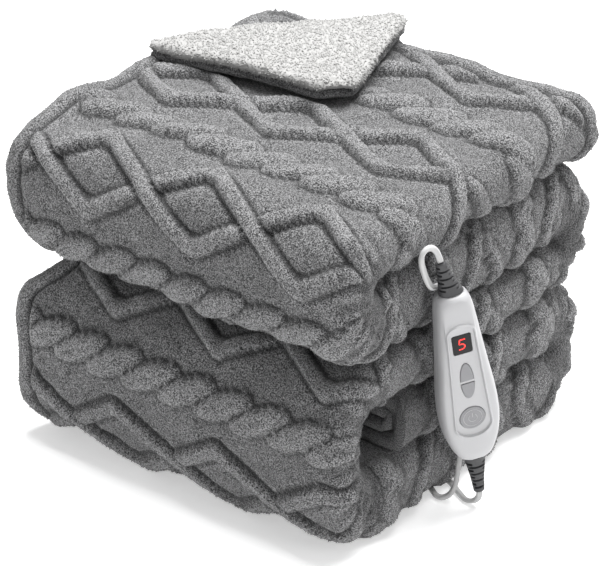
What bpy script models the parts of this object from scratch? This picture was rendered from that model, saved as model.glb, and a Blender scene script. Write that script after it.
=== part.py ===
"""Electric heated blanket: a cable-knit plush throw, folded into a stack, with its
hand controller, the lead between them and a coiled mains lead.

Frame: +X runs along the front edge of the stack towards the folded noses, +Y runs
from the front to the back, +Z is up, and z = 0 is the surface that it lies on.
"""

import math

import bmesh
import bpy
import numpy as np
from mathutils import Matrix, Vector

MM = 0.001
PART_NAME = "electric_heated_blanket"

# ---------------------------------------------------------------- folded stack
HEM_X = -160 * MM           # the two hemmed edges lie on this side
FRONT_Y = -155 * MM         # front bulge of the bends
BACK_Y = 155 * MM           # back bulge of the bends
STRIP_END_Y = 152 * MM      # free end of the top layer
TUCKED_END_Y = -78 * MM     # free end of the layer tucked inside
NOSE_DEPTH = 22 * MM        # how far the folded noses round off in x
FLAT_END_X = 120 * MM       # the last column of points before the noses
FOLD_X = -139 * MM          # where the rounded fold on the hem side starts
FOLD_DEPTH = 17 * MM
INNER_FOLD_DEPTH = 8 * MM
TUCKED_HEM_X = -140 * MM    # hem of the ply that is folded inside
BEND_POWER = 2.3            # 2 is an ellipse, more is squarer
PLY_HALF_GAP = 0.03         # half the gap between plies, in half thicknesses

# name, underside, upper side, tip of the nose in x (mm)
LAYERS = {
    "top": (217.2, 262.0, 157.5),
    "second": (154.8, 216.0, 155.0),
    "third": (112.6, 153.6, 154.5),
    "tucked": (61.8, 111.4, 153.5),
    "bottom": (0.0, 60.6, 150.5),
}
# from, to, side, outer reach, inner reach, slack taken up in the crumple (mm)
BENDS = (
    ("top", "second", "front", 46, 4, 0),
    ("second", "third", "back", 40, 4, 45),
    ("third", "bottom", "front", 56, 22, 0),
    ("bottom", "tucked", "back", 40, 4, 20),
)
FACES_DOWN = ("second", "bottom")   # layers whose patterned side is underneath
BEND_STEPS = 32
FACET_ANGLE = math.radians(6.0)     # flatter facets of the cloth are joined

# ------------------------------------------------------------- raised pattern
LATTICE_PITCH = 98 * MM     # diamond to diamond
LATTICE_HALF = 32 * MM      # middle line of a row of diamonds to its points
LATTICE_PHASE = 8 * MM      # x of a row's first point
CROSS_STEP = LATTICE_PITCH / 8      # columns of points, which meet the ridges' turns
STATION_STEP = LATTICE_HALF / 4     # rows of points, likewise
BAND_PITCH = 14 * STATION_STEP      # cable to cable
FIRST_CABLE = 4 * STATION_STEP      # from the hemmed end of the strip
RIDGE_HALF = 8.5 * MM
RIDGE_HEIGHT = 4.6 * MM
CABLE_PITCH = 3 * CROSS_STEP
CABLE_HEIGHT = 4.6 * MM
LOBE_HALF_LENGTH = 25 * MM
LOBE_HALF_WIDTH = 13 * MM
LOBE_TURN = math.radians(32)
HEM_WIDTH = 14 * MM
HEM_HEIGHT = 2.5 * MM

# ---------------------------------------------------------- turned-back corner
FLAP_START = Vector((-152 * MM, 8 * MM))     # fold line, on the hem side
FLAP_END = Vector((-24 * MM, 150 * MM))      # fold line, on the back side
FLAP_TIP = Vector((23 * MM, 16 * MM))        # where the two free edges would meet
FLAP_TIP_RADIUS = 17 * MM
FLAP_ROLL = 9.6 * MM        # radius of the fold at the middle of the ply
FLAP_ROLL_START = 6.4 * MM  # tighter on the hem side
PLUSH_THICK = 5.6 * MM
LINING_THICK = 5.6 * MM
PIECE_GAP = 0.3 * MM
LINING_GAP = 0.7 * MM
CORNER_LIFT = 13 * MM       # the ply under the turned corner swells by this
CORNER_CUT_OVERRUN = 60 * MM        # how far the corner's cut runs past the fold line's ends
CORNER_CUT_REACH = 160 * MM         # and beyond the corner
CORNER_CUT_HEIGHT = 60 * MM
CORNER_CUT_SINK = 0.66 * MM         # below the underside of the top ply

# ---------------------------------------------------------------- controller
CONTROL_FOOT = Vector((180.0, -28.4, 50.9)) * MM     # lower end of the body axis
CONTROL_HEAD = Vector((174.0, -56.4, 195.9)) * MM    # upper end of the body axis
CONTROL_TURN = math.radians(53)      # heading of its face, from -Y towards +X
CONTROL_LENGTH = (CONTROL_HEAD - CONTROL_FOOT).length
CONTROL_HALF_DEPTH = 11.5 * MM
# share of the length from the foot, half width (mm)
CONTROL_OUTLINE = (
    (0.00, 9.5), (0.03, 13.0), (0.08, 16.8), (0.16, 20.4), (0.25, 22.2), (0.34, 22.3),
    (0.45, 21.2), (0.58, 19.0), (0.72, 16.9), (0.86, 14.9), (0.95, 13.2), (1.00, 10.5),
)
PANEL_BOTTOM = 0.175        # shares of the length
PANEL_TOP = 0.84
PANEL_HALF_LOW = 13.2 * MM
PANEL_HALF_HIGH = 9.6 * MM
PANEL_DEPTH = 0.8 * MM
WINDOW_SIZE = (13.6 * MM, 16.0 * MM)
WINDOW_AT = 0.733
WINDOW_THICK = 1.2 * MM
DIGIT_HEIGHT = 9.0 * MM
DIGIT_WIDTH = 5.4 * MM
DIGIT_STROKE = 1.1 * MM
DIGIT_SLANT = 0.10          # sideways for each unit of height
BUTTON_UP_AT = 0.512        # the flat side of each half-round button
BUTTON_DOWN_AT = 0.497
ARROW_HALF_WIDTH = 5.0 * MM
ARROW_UP_LENGTH = 15.5 * MM
ARROW_DOWN_LENGTH = 13.5 * MM
POWER_AT = 0.284
POWER_RADIUS = 9.6 * MM
BUTTON_THICK = 3.0 * MM
BUTTON_PROUD = 0.7 * MM
BUTTON_TRAVEL = 0.8 * MM
BUTTON_CLEAR = 0.3 * MM

# ----------------------------------------------------------- leads and plug
CORD_DIAMETER = 4.6 * MM
UPPER_RELIEF_TIP = Vector((171.6, -66.6, 222.2)) * MM
LOWER_RELIEF_TIP = Vector((181.3, -22.2, 16.8)) * MM
GROOVE_SIDES = (-28.5 * MM, -2.6 * MM)    # the cloth lies over both leads here
GROOVE_HEIGHT = 5.6 * MM
GROOVE_LENGTH = 360 * MM    # right through the stack
COIL_CENTRE = Vector((-212.0, 27.7)) * MM
COIL_RADIUS = 25.5 * MM     # to the middle of the wound turns
COIL_HALF_WIDTH = 9.6 * MM
COIL_HALF_HEIGHT = 6.2 * MM
GLAND_Y = -58 * MM
GLAND_SIZE = (16 * MM, 18 * MM, 9.4 * MM)
GLAND_EDGE = 1.6 * MM
PLUG_Y = 80 * MM
PLUG_TAIL_X = -226 * MM
PLUG_LENGTH = 34 * MM
PLUG_HEIGHT = 15 * MM
BLADE_SIZE = (17 * MM, 1.5 * MM, 6.3 * MM)
BLADE_SPACING = 12.7 * MM
BLADE_EDGE = 0.4 * MM
BLADE_SINK = 4 * MM         # how far the blades sit in the plug

# routes in mm, x, y, z of the lead's centre
BLANKET_LEAD_ROUTE = (
    (171.6, -66.8, 223.4), (171.1, -69.0, 228.0), (170.0, -72.2, 233.0), (168.6, -76.4, 236.4),
    (167.0, -80.0, 236.6), (165.9, -81.0, 231.4), (165.2, -78.4, 221.4), (164.8, -73.2, 209.6),
    (164.5, -66.6, 200.6), (164.2, -59.2, 198.0), (164.0, -52.0, 197.0), (164.6, -45.4, 193.6),
    (166.1, -39.9, 180.6), (167.0, -35.7, 163.1), (167.6, -31.7, 144.6), (167.8, -27.9, 124.5),
    (168.2, -24.6, 104.2), (168.2, -22.4, 85.2), (167.1, -21.9, 68.4), (165.6, -22.7, 54.5),
    (164.1, -23.3, 41.0), (162.6, -23.4, 25.5), (161.0, -24.0, 13.5),
    (158.8, -27.0, 6.6), (154.2, -30.2, 3.2), (148.4, -30.0, 2.6), (142.4, -26.4, 2.6),
    (136.4, -22.8, 2.6), (128.0, -21.2, 2.6), (112.0, -21.0, 2.6), (20.0, -21.0, 2.6),
    (-80.0, -21.0, 2.6), (-150.0, -21.0, 2.6), (-176.0, -21.4, 2.6), (-193.0, -25.0, 2.6),
    (-204.0, -34.0, 2.8), (-207.0, -45.0, 3.4), (-201.0, -54.5, 4.4), (-190.5, -58.0, 4.8),
    (-176.8, -58.0, 4.8),
)
MAINS_LEAD_ROUTE = (
    (181.3, -22.1, 16.4), (181.5, -21.0, 9.8), (180.2, -20.8, 5.4), (176.6, -21.4, 3.0),
    (171.0, -21.6, 2.6), (164.6, -19.4, 2.6), (157.6, -15.4, 2.6), (150.6, -11.2, 2.6),
    (143.6, -7.8, 2.6), (136.4, -6.3, 2.6), (126.0, -6.0, 2.6), (20.0, -6.0, 2.6),
    (-80.0, -6.0, 2.6), (-150.0, -6.0, 2.6), (-199.3, -6.0, 2.6),
)
PLUG_LEAD_ROUTE = (
    (-243.4, 45.5, 2.6), (-243.7, 52.0, 2.6), (-243.0, 60.5, 2.8), (-240.4, 69.2, 3.8),
    (-235.4, 76.2, 5.6), (-230.2, 79.4, 7.2), (-226.4, 80.0, 7.8),
)


# ------------------------------------------------------------------- helpers
def clear_scene():
    for scene_object in list(bpy.data.objects):
        bpy.data.objects.remove(scene_object, do_unlink=True)


def make_collection(name):
    collection = bpy.data.collections.new(name)
    bpy.context.scene.collection.children.link(collection)
    return collection


def make_material(name, colour, roughness, metallic=0.0):
    material = bpy.data.materials.new(name)
    material.use_nodes = True
    shader = material.node_tree.nodes["Principled BSDF"]
    shader.inputs["Base Color"].default_value = (*colour, 1.0)
    shader.inputs["Roughness"].default_value = roughness
    shader.inputs["Metallic"].default_value = metallic
    return material


def add_object(name, mesh, collection, material=None, parent=None):
    new_object = bpy.data.objects.new(name, mesh)
    collection.objects.link(new_object)
    if material:
        new_object.data.materials.append(material)
    if parent:
        new_object.parent = parent
    return new_object


def mesh_from_bmesh(name, bm):
    bmesh.ops.recalc_face_normals(bm, faces=bm.faces)
    mesh = bpy.data.meshes.new(name)
    bm.to_mesh(mesh)
    bm.free()
    return mesh


def smooth_shade(scene_object, degrees=40):
    scene_object.data.shade_smooth()
    scene_object.data.set_sharp_from_angle(angle=math.radians(degrees))


def as_cutter(scene_object):
    scene_object.hide_render = True
    scene_object.display_type = "WIRE"
    return scene_object


def cut(target, cutter, operation="DIFFERENCE"):
    modifier = target.modifiers.new(cutter.name, "BOOLEAN")
    modifier.operation = operation
    modifier.object = cutter
    modifier.solver = "EXACT"


def smooth_step(low, high, values):
    share = np.clip((values - low) / (high - low), 0.0, 1.0)
    return share * share * (3.0 - 2.0 * share)


def loft(rings, closed_ends=True):
    """A closed skin over rings of points that all have the same count."""
    bm = bmesh.new()
    rows = [[bm.verts.new(point) for point in ring] for ring in rings]
    count = len(rows[0])
    for lower, upper in zip(rows, rows[1:]):
        for index in range(count):
            following = (index + 1) % count
            bm.faces.new((lower[index], lower[following], upper[following], upper[index]))
    if closed_ends:
        bm.faces.new(tuple(reversed(rows[0])))
        bm.faces.new(tuple(rows[-1]))
    return bm


# ------------------------------------------------------- shape of the strip
def bend_curve(angle):
    """Point of the squared circle that the bends and noses follow."""
    across, up = math.cos(angle), math.sin(angle)
    power = 2.0 / BEND_POWER
    return (math.copysign(abs(across) ** power, across),
            math.copysign(abs(up) ** power, up))


def layer_sides(name):
    """Heights of the patterned side and the plain side of a layer."""
    low, high, _ = LAYERS[name]
    if name in FACES_DOWN:
        return low * MM, high * MM
    return high * MM, low * MM


def straight_rows(name, start_y, end_y):
    """The two ends of a straight run: patterned y, z, plain y, z, nose, what shows, turn, slack."""
    patterned, plain = layer_sides(name)
    nose = LAYERS[name][2] * MM
    shows = 1.0 if name == "top" else 0.0
    return [(y, patterned, y, plain, nose, shows, 0.0, 0.0, 0.0) for y in (start_y, end_y)]


def bend_rows(first, last, side, reach, inner_reach, slack):
    """Rows round a bend; the turn is positive where the patterned side is outermost."""
    sign = -1.0 if side == "front" else 1.0
    low_layer, high_layer = sorted((first, last), key=lambda name: LAYERS[name][0])
    outer_low, outer_high = LAYERS[low_layer][0] * MM, LAYERS[high_layer][1] * MM
    inner_low, inner_high = LAYERS[low_layer][1] * MM, LAYERS[high_layer][0] * MM
    centre_y = (FRONT_Y if side == "front" else BACK_Y) - sign * reach * MM
    direction = 1.0 if first == high_layer else -1.0
    outer_is_patterned = (first in FACES_DOWN) == (first == low_layer)
    rows = []
    for index in range(1, BEND_STEPS):
        share = index / BEND_STEPS
        across, up = bend_curve(math.radians(90.0) * direction * (1.0 - 2.0 * share))
        outer = (centre_y + sign * reach * MM * across,
                 (outer_low + outer_high) / 2 + (outer_high - outer_low) / 2 * up)
        inner = (centre_y + sign * inner_reach * MM * across,
                 (inner_low + inner_high) / 2 + (inner_high - inner_low) / 2 * up)
        shows = float(smooth_step(0.1, 0.6, across))
        if high_layer == "top" and up > 0.0:
            shows = 1.0
        nose = (LAYERS[first][2] * (1.0 - share) + LAYERS[last][2] * share) * MM
        pair = (*outer, *inner) if outer_is_patterned else (*inner, *outer)
        visible = (shows, 0.0) if outer_is_patterned else (0.0, shows)
        turn = float(smooth_step(0.0, 0.3, across)) * (1.0 if outer_is_patterned else -1.0)
        rows.append((*pair, nose, *visible, turn, slack * MM / (BEND_STEPS - 1)))
    return rows


def strip_stations():
    """Rows along the folded strip, from the free end on top to the tucked end."""
    order = ["top"] + [bend[1] for bend in BENDS]
    starts, ends = {"top": STRIP_END_Y}, {"tucked": TUCKED_END_Y}
    for first, last, side, reach, _, _ in BENDS:
        edge = FRONT_Y + reach * MM if side == "front" else BACK_Y - reach * MM
        ends[first], starts[last] = edge, edge
    rows = []
    for index, name in enumerate(order):
        rows += straight_rows(name, starts[name], ends[name])
        if index < len(BENDS):
            rows += bend_rows(*BENDS[index])
    rows = np.array(rows)
    steps = np.diff(rows[:, :4], axis=0)
    advance = np.maximum(np.hypot(steps[:, 0], steps[:, 1]), np.hypot(steps[:, 2], steps[:, 3]))
    travelled = np.concatenate(([0.0], np.cumsum(advance + rows[1:, 8])))
    along = np.arange(0.0, travelled[-1] - STATION_STEP / 2, STATION_STEP)
    along = np.append(along, travelled[-1])
    columns = [np.interp(along, travelled, rows[:, index]) for index in range(8)]
    return np.column_stack(columns + [along])


def arc_points(centre_x, level, depth, half, first, last, count):
    """Points (x, level) round a fold, between two angles in degrees."""
    points = []
    for index in range(count + 1):
        angle = math.radians(first + (last - first) * index / count)
        across, up = bend_curve(angle)
        points.append((centre_x + depth * across, level + half * up))
    return points


def flat_columns():
    """The x of each column of points between the hem or fold and the noses."""
    first = math.ceil((FOLD_X + 6 * MM - LATTICE_PHASE) / CROSS_STEP)
    last = math.floor((FLAT_END_X - LATTICE_PHASE) / CROSS_STEP)
    return [LATTICE_PHASE + CROSS_STEP * index for index in range(first, last + 1)]


def strip_section(nose):
    """Closed outline of the four-ply section: x, level from +1 patterned to -1 plain.

    The ply on the patterned side wraps round the nose to the plain side, folds back
    on the hem side, and doubles once more inside; its second hem ends in there.
    """
    start = nose - NOSE_DEPTH
    gap = PLY_HALF_GAP
    columns = flat_columns()
    outer = [(HEM_X, 0.66), (HEM_X, 0.88), (HEM_X + 3 * MM, 0.98), (columns[0] - CROSS_STEP, 1.0)]
    outer += [(x, 1.0) for x in columns]
    outer += arc_points(start, 0.0, NOSE_DEPTH, 1.0, 90, -90, 6)
    outer += [(x, -1.0) for x in reversed(columns)]
    middle = (0.5 - gap - 1.0) / 2
    outer += arc_points(FOLD_X, middle, FOLD_DEPTH, 0.5 - gap - middle, 270, 90, 5)
    inner = [(x, 0.5 - gap) for x in columns]
    inner += arc_points(start, 0.0, NOSE_DEPTH * (0.5 - gap), 0.5 - gap, 90, -90, 2)
    inner += [(TUCKED_HEM_X + 2 * MM, gap - 0.5), (TUCKED_HEM_X, gap - 0.44),
              (TUCKED_HEM_X, -gap - 0.06), (TUCKED_HEM_X + 2 * MM, -gap)]
    inner += [(start, -gap), (start + 1.2 * MM, 0.0), (start, gap)]
    inner += arc_points(FOLD_X, -0.25, INNER_FOLD_DEPTH, 0.25 + gap, 90, 270, 2)
    inner += arc_points(start, 0.0, NOSE_DEPTH * (0.5 + gap), 0.5 + gap, -90, 90, 2)
    inner += [(x, 0.5 + gap) for x in reversed(columns)]
    inner += [(columns[0] - CROSS_STEP, 0.5 + gap), (HEM_X + 3 * MM, 0.5 + gap)]
    return outer, inner


# ------------------------------------------------------------ raised pattern
def zigzag(across, period):
    """Triangle wave from -1 to 1 whose low turns lie at across = 0."""
    share = np.mod(across / period, 1.0)
    return 1.0 - 4.0 * np.abs(share - 0.5)


def ridge_profile(distance, half_width):
    return 1.0 - smooth_step(0.45 * half_width, half_width, np.abs(distance))


def lattice_height(across, along):
    """Two crossing zigzag ridges that make a row of diamonds."""
    period = 2 * LATTICE_PITCH
    slope = 4.0 * LATTICE_HALF / period
    lean = 1.0 / math.sqrt(1.0 + slope * slope)
    height = np.zeros_like(across)
    for offset in (0.0, LATTICE_PITCH):
        turns = zigzag(across - LATTICE_PHASE + offset, period)
        ridge = ridge_profile((along - turns * LATTICE_HALF) * lean, RIDGE_HALF)
        height = np.maximum(height, ridge)
    return height * RIDGE_HEIGHT


def cable_height(across, along):
    """A rope of overlapping slanted lobes."""
    height = np.zeros_like(across)
    nearest = np.round(across / CABLE_PITCH)
    for step in (-1, 0, 1):
        offset = across - (nearest + step) * CABLE_PITCH
        lengthwise = offset * math.cos(LOBE_TURN) - along * math.sin(LOBE_TURN)
        sideways = offset * math.sin(LOBE_TURN) + along * math.cos(LOBE_TURN)
        reach = (lengthwise / LOBE_HALF_LENGTH) ** 2 + (sideways / LOBE_HALF_WIDTH) ** 2
        height = np.maximum(height, np.sqrt(np.clip(1.0 - reach, 0.0, 1.0)))
    return height * CABLE_HEIGHT


def pattern_height(across, along):
    """Raised height of the plush at a place on the opened cloth."""
    band = np.mod(along - FIRST_CABLE + BAND_PITCH / 2, BAND_PITCH) - BAND_PITCH / 2
    cable = cable_height(across, band)
    gap_from_middle = np.mod(along - FIRST_CABLE, BAND_PITCH) - BAND_PITCH / 2
    height = np.maximum(cable, lattice_height(across, gap_from_middle))
    body = smooth_step(HEM_WIDTH, HEM_WIDTH + 4 * MM, along)
    return height * body + HEM_HEIGHT * (1.0 - body)


def grid_normals(points):
    """Outward normals of a grid of points, stations by section points."""
    round_section = np.roll(points, -1, axis=1) - np.roll(points, 1, axis=1)
    along = np.gradient(points, axis=0)
    normals = np.cross(along, round_section)
    return normals / np.maximum(np.linalg.norm(normals, axis=2, keepdims=True), 1e-9)


def blanket_grid():
    """Points of the folded cloth, with its raised pattern, on a regular grid."""
    stations = strip_stations()
    patterned, plain = stations[:, None, 0:2], stations[:, None, 2:4]
    nose, show_patterned, show_plain, turn, along = (stations[:, index, None] for index in range(4, 9))
    count = len(strip_section(nose[0, 0])[0])
    section = np.array([sum(strip_section(value), []) for value in nose[:, 0]])
    x, level = section[:, :, 0], section[:, :, 1]
    share = ((level + 1.0) / 2.0)[:, :, None]
    points = np.dstack([x, plain * (1.0 - share) + patterned * share])

    steps = np.linalg.norm(np.diff(points[:, :count], axis=1), axis=2)
    flat = np.argmin(np.abs(section[0, :count, 0] - LATTICE_PHASE) - 0.01 * section[0, :count, 1])
    across = np.zeros_like(x)
    across[:, 1:count] = np.cumsum(steps, axis=1)
    across += LATTICE_PHASE - across[:, flat, None]
    along = np.broadcast_to(along, x.shape)

    over_nose = x - (nose - NOSE_DEPTH)
    facing_side = smooth_step(0.25 * NOSE_DEPTH, 0.75 * NOSE_DEPTH, over_nose)
    facing_side = facing_side * (1.0 - np.abs(turn) * (0.5 - 0.5 * turn * level))
    facing_hem = smooth_step(0.0, 0.6 * FOLD_DEPTH, FOLD_X - x)
    shows = np.maximum(np.where(level > 0.0, show_patterned, show_plain), facing_side)
    shows = np.where((x < FOLD_X + 1 * MM) & (level < 0.5), show_plain * (1.0 - facing_hem), shows)
    shows = shows * (1.0 - under_flap(points))
    shows[:, count:] = 0.0

    height = pattern_height(across, along)
    hem = 1.0 - smooth_step(HEM_WIDTH, HEM_WIDTH + 4 * MM, x - HEM_X)
    hem = np.where(level > 0.5, hem, 0.0)
    relief = (height * (1.0 - hem) + HEM_HEIGHT * hem) * shows
    lift = corner_lift(points, level)
    points = points + grid_normals(points) * relief[:, :, None]
    points[:, :, 2] += lift * (1.0 + 0.25 * pattern_height(x, along) / RIDGE_HEIGHT)
    return points, relief


def beyond_line(points, first, last):
    """Distance of each point to the left of the line from first to last, seen from above."""
    direction = (last - first).normalized()
    return (points[:, :, :2] - np.array(first)) @ np.array((-direction.y, direction.x))


def under_flap(points):
    """1 where the turned-back corner lies on the cloth, so that nothing is raised there."""
    edge = 6 * MM
    inside = np.minimum(beyond_line(points, FLAP_START, FLAP_TIP), beyond_line(points, FLAP_TIP, FLAP_END))
    on_top = points[:, :, 2] > LAYERS["top"][1] * MM - 2 * MM
    return smooth_step(-edge, edge, inside) * on_top


def corner_lift(points, level):
    """The ply under the turned-back corner swells where nothing presses on it."""
    on_ply = smooth_step(0.1, 0.45, level)
    beyond = beyond_line(points, FLAP_START, FLAP_END)
    near_back = 1.0 - 0.5 * smooth_step(BACK_Y - 22 * MM, BACK_Y, points[:, :, 1])
    first_ply = points[:, :, 2] > LAYERS["top"][0] * MM + 20 * MM
    return CORNER_LIFT * smooth_step(14 * MM, 60 * MM, beyond) * on_ply * first_ply * near_back


def cloth_mesh(points, relief):
    """Skin over the grid, whose squares are split along the ridges' crests."""
    bm = bmesh.new()
    rows = [[bm.verts.new(point) for point in ring] for ring in points.tolist()]
    width = len(rows[0])
    for row, (lower, upper) in enumerate(zip(rows, rows[1:])):
        for index in range(width):
            following = (index + 1) % width
            corners = (lower[index], lower[following], upper[following], upper[index])
            falling = relief[row, index] + relief[row + 1, following]
            rising = relief[row, following] + relief[row + 1, index]
            if falling < rising:
                corners = corners[1:] + corners[:1]
            bm.faces.new((corners[0], corners[1], corners[2]))
            bm.faces.new((corners[0], corners[2], corners[3]))
    bm.faces.new(tuple(reversed(rows[0])))
    bm.faces.new(tuple(rows[-1]))
    bmesh.ops.recalc_face_normals(bm, faces=bm.faces)
    bmesh.ops.dissolve_limit(bm, angle_limit=FACET_ANGLE, verts=bm.verts, edges=bm.edges)
    bmesh.ops.triangulate(bm, faces=bm.faces)
    return mesh_from_bmesh("plush_blanket", bm)


def build_blanket(collection, cutters, material):
    blanket = add_object("plush_blanket", cloth_mesh(*blanket_grid()), collection, material)
    cut(blanket, corner_cutter(cutters))
    cut(blanket, build_flap_ply(cutters), "UNION")
    cut(blanket, groove_cutter(cutters))
    return blanket


def groove_cutter(cutters):
    """The cloth's underside is pressed in where the leads run under it."""
    low, high = GROOVE_SIDES
    bm = bmesh.new()
    bmesh.ops.create_cube(bm, size=1.0)
    bmesh.ops.scale(bm, vec=(GROOVE_LENGTH, high - low, 2 * GROOVE_HEIGHT), verts=bm.verts)
    bmesh.ops.translate(bm, vec=(0.0, (low + high) / 2, 0.0), verts=bm.verts)
    return as_cutter(add_object("lead_groove", mesh_from_bmesh("lead_groove", bm), cutters))


# ------------------------------------------------------- turned-back corner
def ply_levels():
    """Underside, middle and upper side of the top ply."""
    low, high, _ = LAYERS["top"]
    middle, half = (low + high) / 2, (high - low) / 2
    bottom = middle + half * (0.5 + PLY_HALF_GAP)
    return bottom * MM, (bottom + high) / 2 * MM, high * MM


def corner_cutter(cutters):
    """Takes away the top ply beyond the fold line."""
    fold = (FLAP_END - FLAP_START).normalized()
    towards_corner = Vector((-fold.y, fold.x))
    first = FLAP_START - fold * CORNER_CUT_OVERRUN
    last = FLAP_END + fold * CORNER_CUT_OVERRUN
    reach = towards_corner * CORNER_CUT_REACH
    outline = (first, last, last + reach, first + reach)
    floor = ply_levels()[0] - CORNER_CUT_SINK
    rings = [[(point.x, point.y, z) for point in outline] for z in (floor, floor + CORNER_CUT_HEIGHT)]
    return as_cutter(add_object("corner_cutter", mesh_from_bmesh("corner_cutter", loft(rings)), cutters))


def flap_rows():
    """Rows of the turned ply: distance before the fold line, roll angle, distance back from it."""
    rows = [(-3.0 * MM, 0.0, 0.0)]
    rows += [(0.0, math.radians(degrees), 0.0) for degrees in (4, 26, 52, 77, 103, 130, 156, 180)]
    reach = flap_shape()[3] + FLAP_TIP_RADIUS
    rows += [(0.0, math.pi, reach * share) for share in (0.15, 0.34, 0.53, 0.7, 0.82, 0.9, 0.96, 0.99)]
    return rows


def flap_shape():
    """Fold length, place of the tip along it, depth of the tip, and centre of its rounding."""
    fold = FLAP_END - FLAP_START
    length = fold.length
    fold.normalize()
    tip = FLAP_TIP - FLAP_START
    depth = -tip.dot(Vector((-fold.y, fold.x)))
    half_angle = math.atan(length / 2 / depth)
    return length, tip.dot(fold), depth, depth - FLAP_TIP_RADIUS / math.sin(half_angle)


def flap_edges(back):
    """The two ends of a row that lies this far back from the fold line."""
    length, tip, depth, centre = flap_shape()
    half_angle = math.atan(length / 2 / depth)
    share = back / depth
    low, high = tip * share, length + (tip - length) * share
    if back > centre + FLAP_TIP_RADIUS * math.sin(half_angle):
        half = math.sqrt(max(0.0, FLAP_TIP_RADIUS ** 2 - (back - centre) ** 2))
        middle = (low + high) / 2
        low, high = middle - half, middle + half
    return low, high


def flap_point(t_share, row, offset):
    """A point of the turned ply; offset is upwards from the middle of the ply."""
    before, angle, back = row
    fold = (FLAP_END - FLAP_START).normalized()
    towards_corner = Vector((-fold.y, fold.x))
    low, high = flap_edges(back)
    draw_in = 3 * MM * math.sin(angle)
    t = low + draw_in + (high - low - 2 * draw_in) * t_share
    grow = float(smooth_step(0.0, 0.4, t / flap_shape()[0]))
    roll = FLAP_ROLL_START + (FLAP_ROLL - FLAP_ROLL_START) * grow
    radius = roll - offset
    beyond = before + radius * math.sin(angle) - back
    height = ply_levels()[1] + roll - radius * math.cos(angle)
    place = FLAP_START + fold * t + towards_corner * beyond
    return Vector((place.x, place.y, height))


def turned_sheet(inner_offset, outer_offset, rows, columns=9):
    """Closed skin round one sheet of the turned ply."""
    rings = []
    for row in rows:
        upper = [flap_point(index / columns, row, inner_offset) for index in range(columns + 1)]
        lower = [flap_point(index / columns, row, outer_offset) for index in range(columns + 1)]
        middle = (inner_offset + outer_offset) / 2
        left = flap_point(-0.012, row, middle)
        right = flap_point(1.012, row, middle)
        rings.append(upper + [right] + lower[::-1] + [left])
    return loft(rings)


def build_flap_ply(cutters):
    """The plush side of the turned corner, joined to the blanket."""
    rows = flap_rows()
    bm = turned_sheet(PLUSH_THICK, 0.1 * MM, rows)
    return as_cutter(add_object("turned_plush", mesh_from_bmesh("turned_plush", bm), cutters))


def build_lining(collection, material):
    """The sherpa lining, which shows on the turned corner only."""
    rows = flap_rows()[1:]
    bm = turned_sheet(-LINING_GAP, -LINING_THICK, rows)
    return add_object("sherpa_lining", mesh_from_bmesh("sherpa_lining", bm), collection, material)


# ---------------------------------------------------------------- controller
def controller_empty(collection):
    """Frame of the controller: x across, y up its length, z out of its face."""
    up = (CONTROL_HEAD - CONTROL_FOOT).normalized()
    heading = Vector((math.sin(CONTROL_TURN), -math.cos(CONTROL_TURN), 0.0))
    out = (heading - up * heading.dot(up)).normalized()
    across = up.cross(out)
    empty = bpy.data.objects.new("controller_frame", None)
    collection.objects.link(empty)
    rotation = Matrix((across, up, out)).transposed().to_4x4()
    empty.matrix_world = Matrix.Translation(CONTROL_FOOT) @ rotation
    return empty


def outline_half_width(share):
    for (low, low_width), (high, high_width) in zip(CONTROL_OUTLINE, CONTROL_OUTLINE[1:]):
        if share <= high:
            part = (share - low) / (high - low)
            return (low_width + (high_width - low_width) * part) * MM
    return CONTROL_OUTLINE[-1][1] * MM


def body_outline(inset, count=15):
    """The body's outline in its own plane, drawn in evenly by the inset."""
    middle = CONTROL_LENGTH / 2
    shrink = (middle - inset) / middle
    right = []
    for index in range(count + 1):
        share = 0.5 - 0.5 * math.cos(math.pi * index / count)
        width = outline_half_width(share) - inset
        right.append((width, middle + (share - 0.5) * CONTROL_LENGTH * shrink))
    left = [(-x, y) for x, y in reversed(right)]
    return right + left


def build_shell(name, levels, collection, material, parent):
    """A half body lofted through outlines at (height, inset) levels in mm."""
    rings = []
    for height, inset in levels:
        rings.append([(x, y, height * MM) for x, y in body_outline(inset * MM)])
    shell = add_object(name, mesh_from_bmesh(name, loft(rings)), collection, material, parent)
    smooth_shade(shell, 35)
    return shell


def prism(outline, low, high):
    return loft([[(x, y, z) for x, y in outline] for z in (low, high)])


def panel_outline(margin=0.0, arc=7):
    """Tapered slot with round ends that frames the window and the buttons."""
    low, high = PANEL_BOTTOM * CONTROL_LENGTH, PANEL_TOP * CONTROL_LENGTH
    low_radius, high_radius = PANEL_HALF_LOW + margin, PANEL_HALF_HIGH + margin
    points = []
    for index in range(arc + 1):
        angle = math.pi + math.pi * index / arc
        points.append((low_radius * math.cos(angle), low + low_radius * 0.8 * (1 + math.sin(angle))))
    for index in range(arc + 1):
        angle = math.pi * index / arc
        points.append((high_radius * math.cos(angle), high - high_radius * 0.6 * (1 - math.sin(angle))))
    return points


def box_outline(centre_y, size, margin=0.0, corner=1.6 * MM):
    half_x, half_y = size[0] / 2 + margin, size[1] / 2 + margin
    points = []
    for turn, (sign_x, sign_y) in enumerate(((1, 1), (-1, 1), (-1, -1), (1, -1))):
        for index in range(4):
            angle = math.radians(90 * turn + 30 * index)
            points.append((sign_x * (half_x - corner) + corner * math.cos(angle),
                           centre_y + sign_y * (half_y - corner) + corner * math.sin(angle)))
    return points


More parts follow.
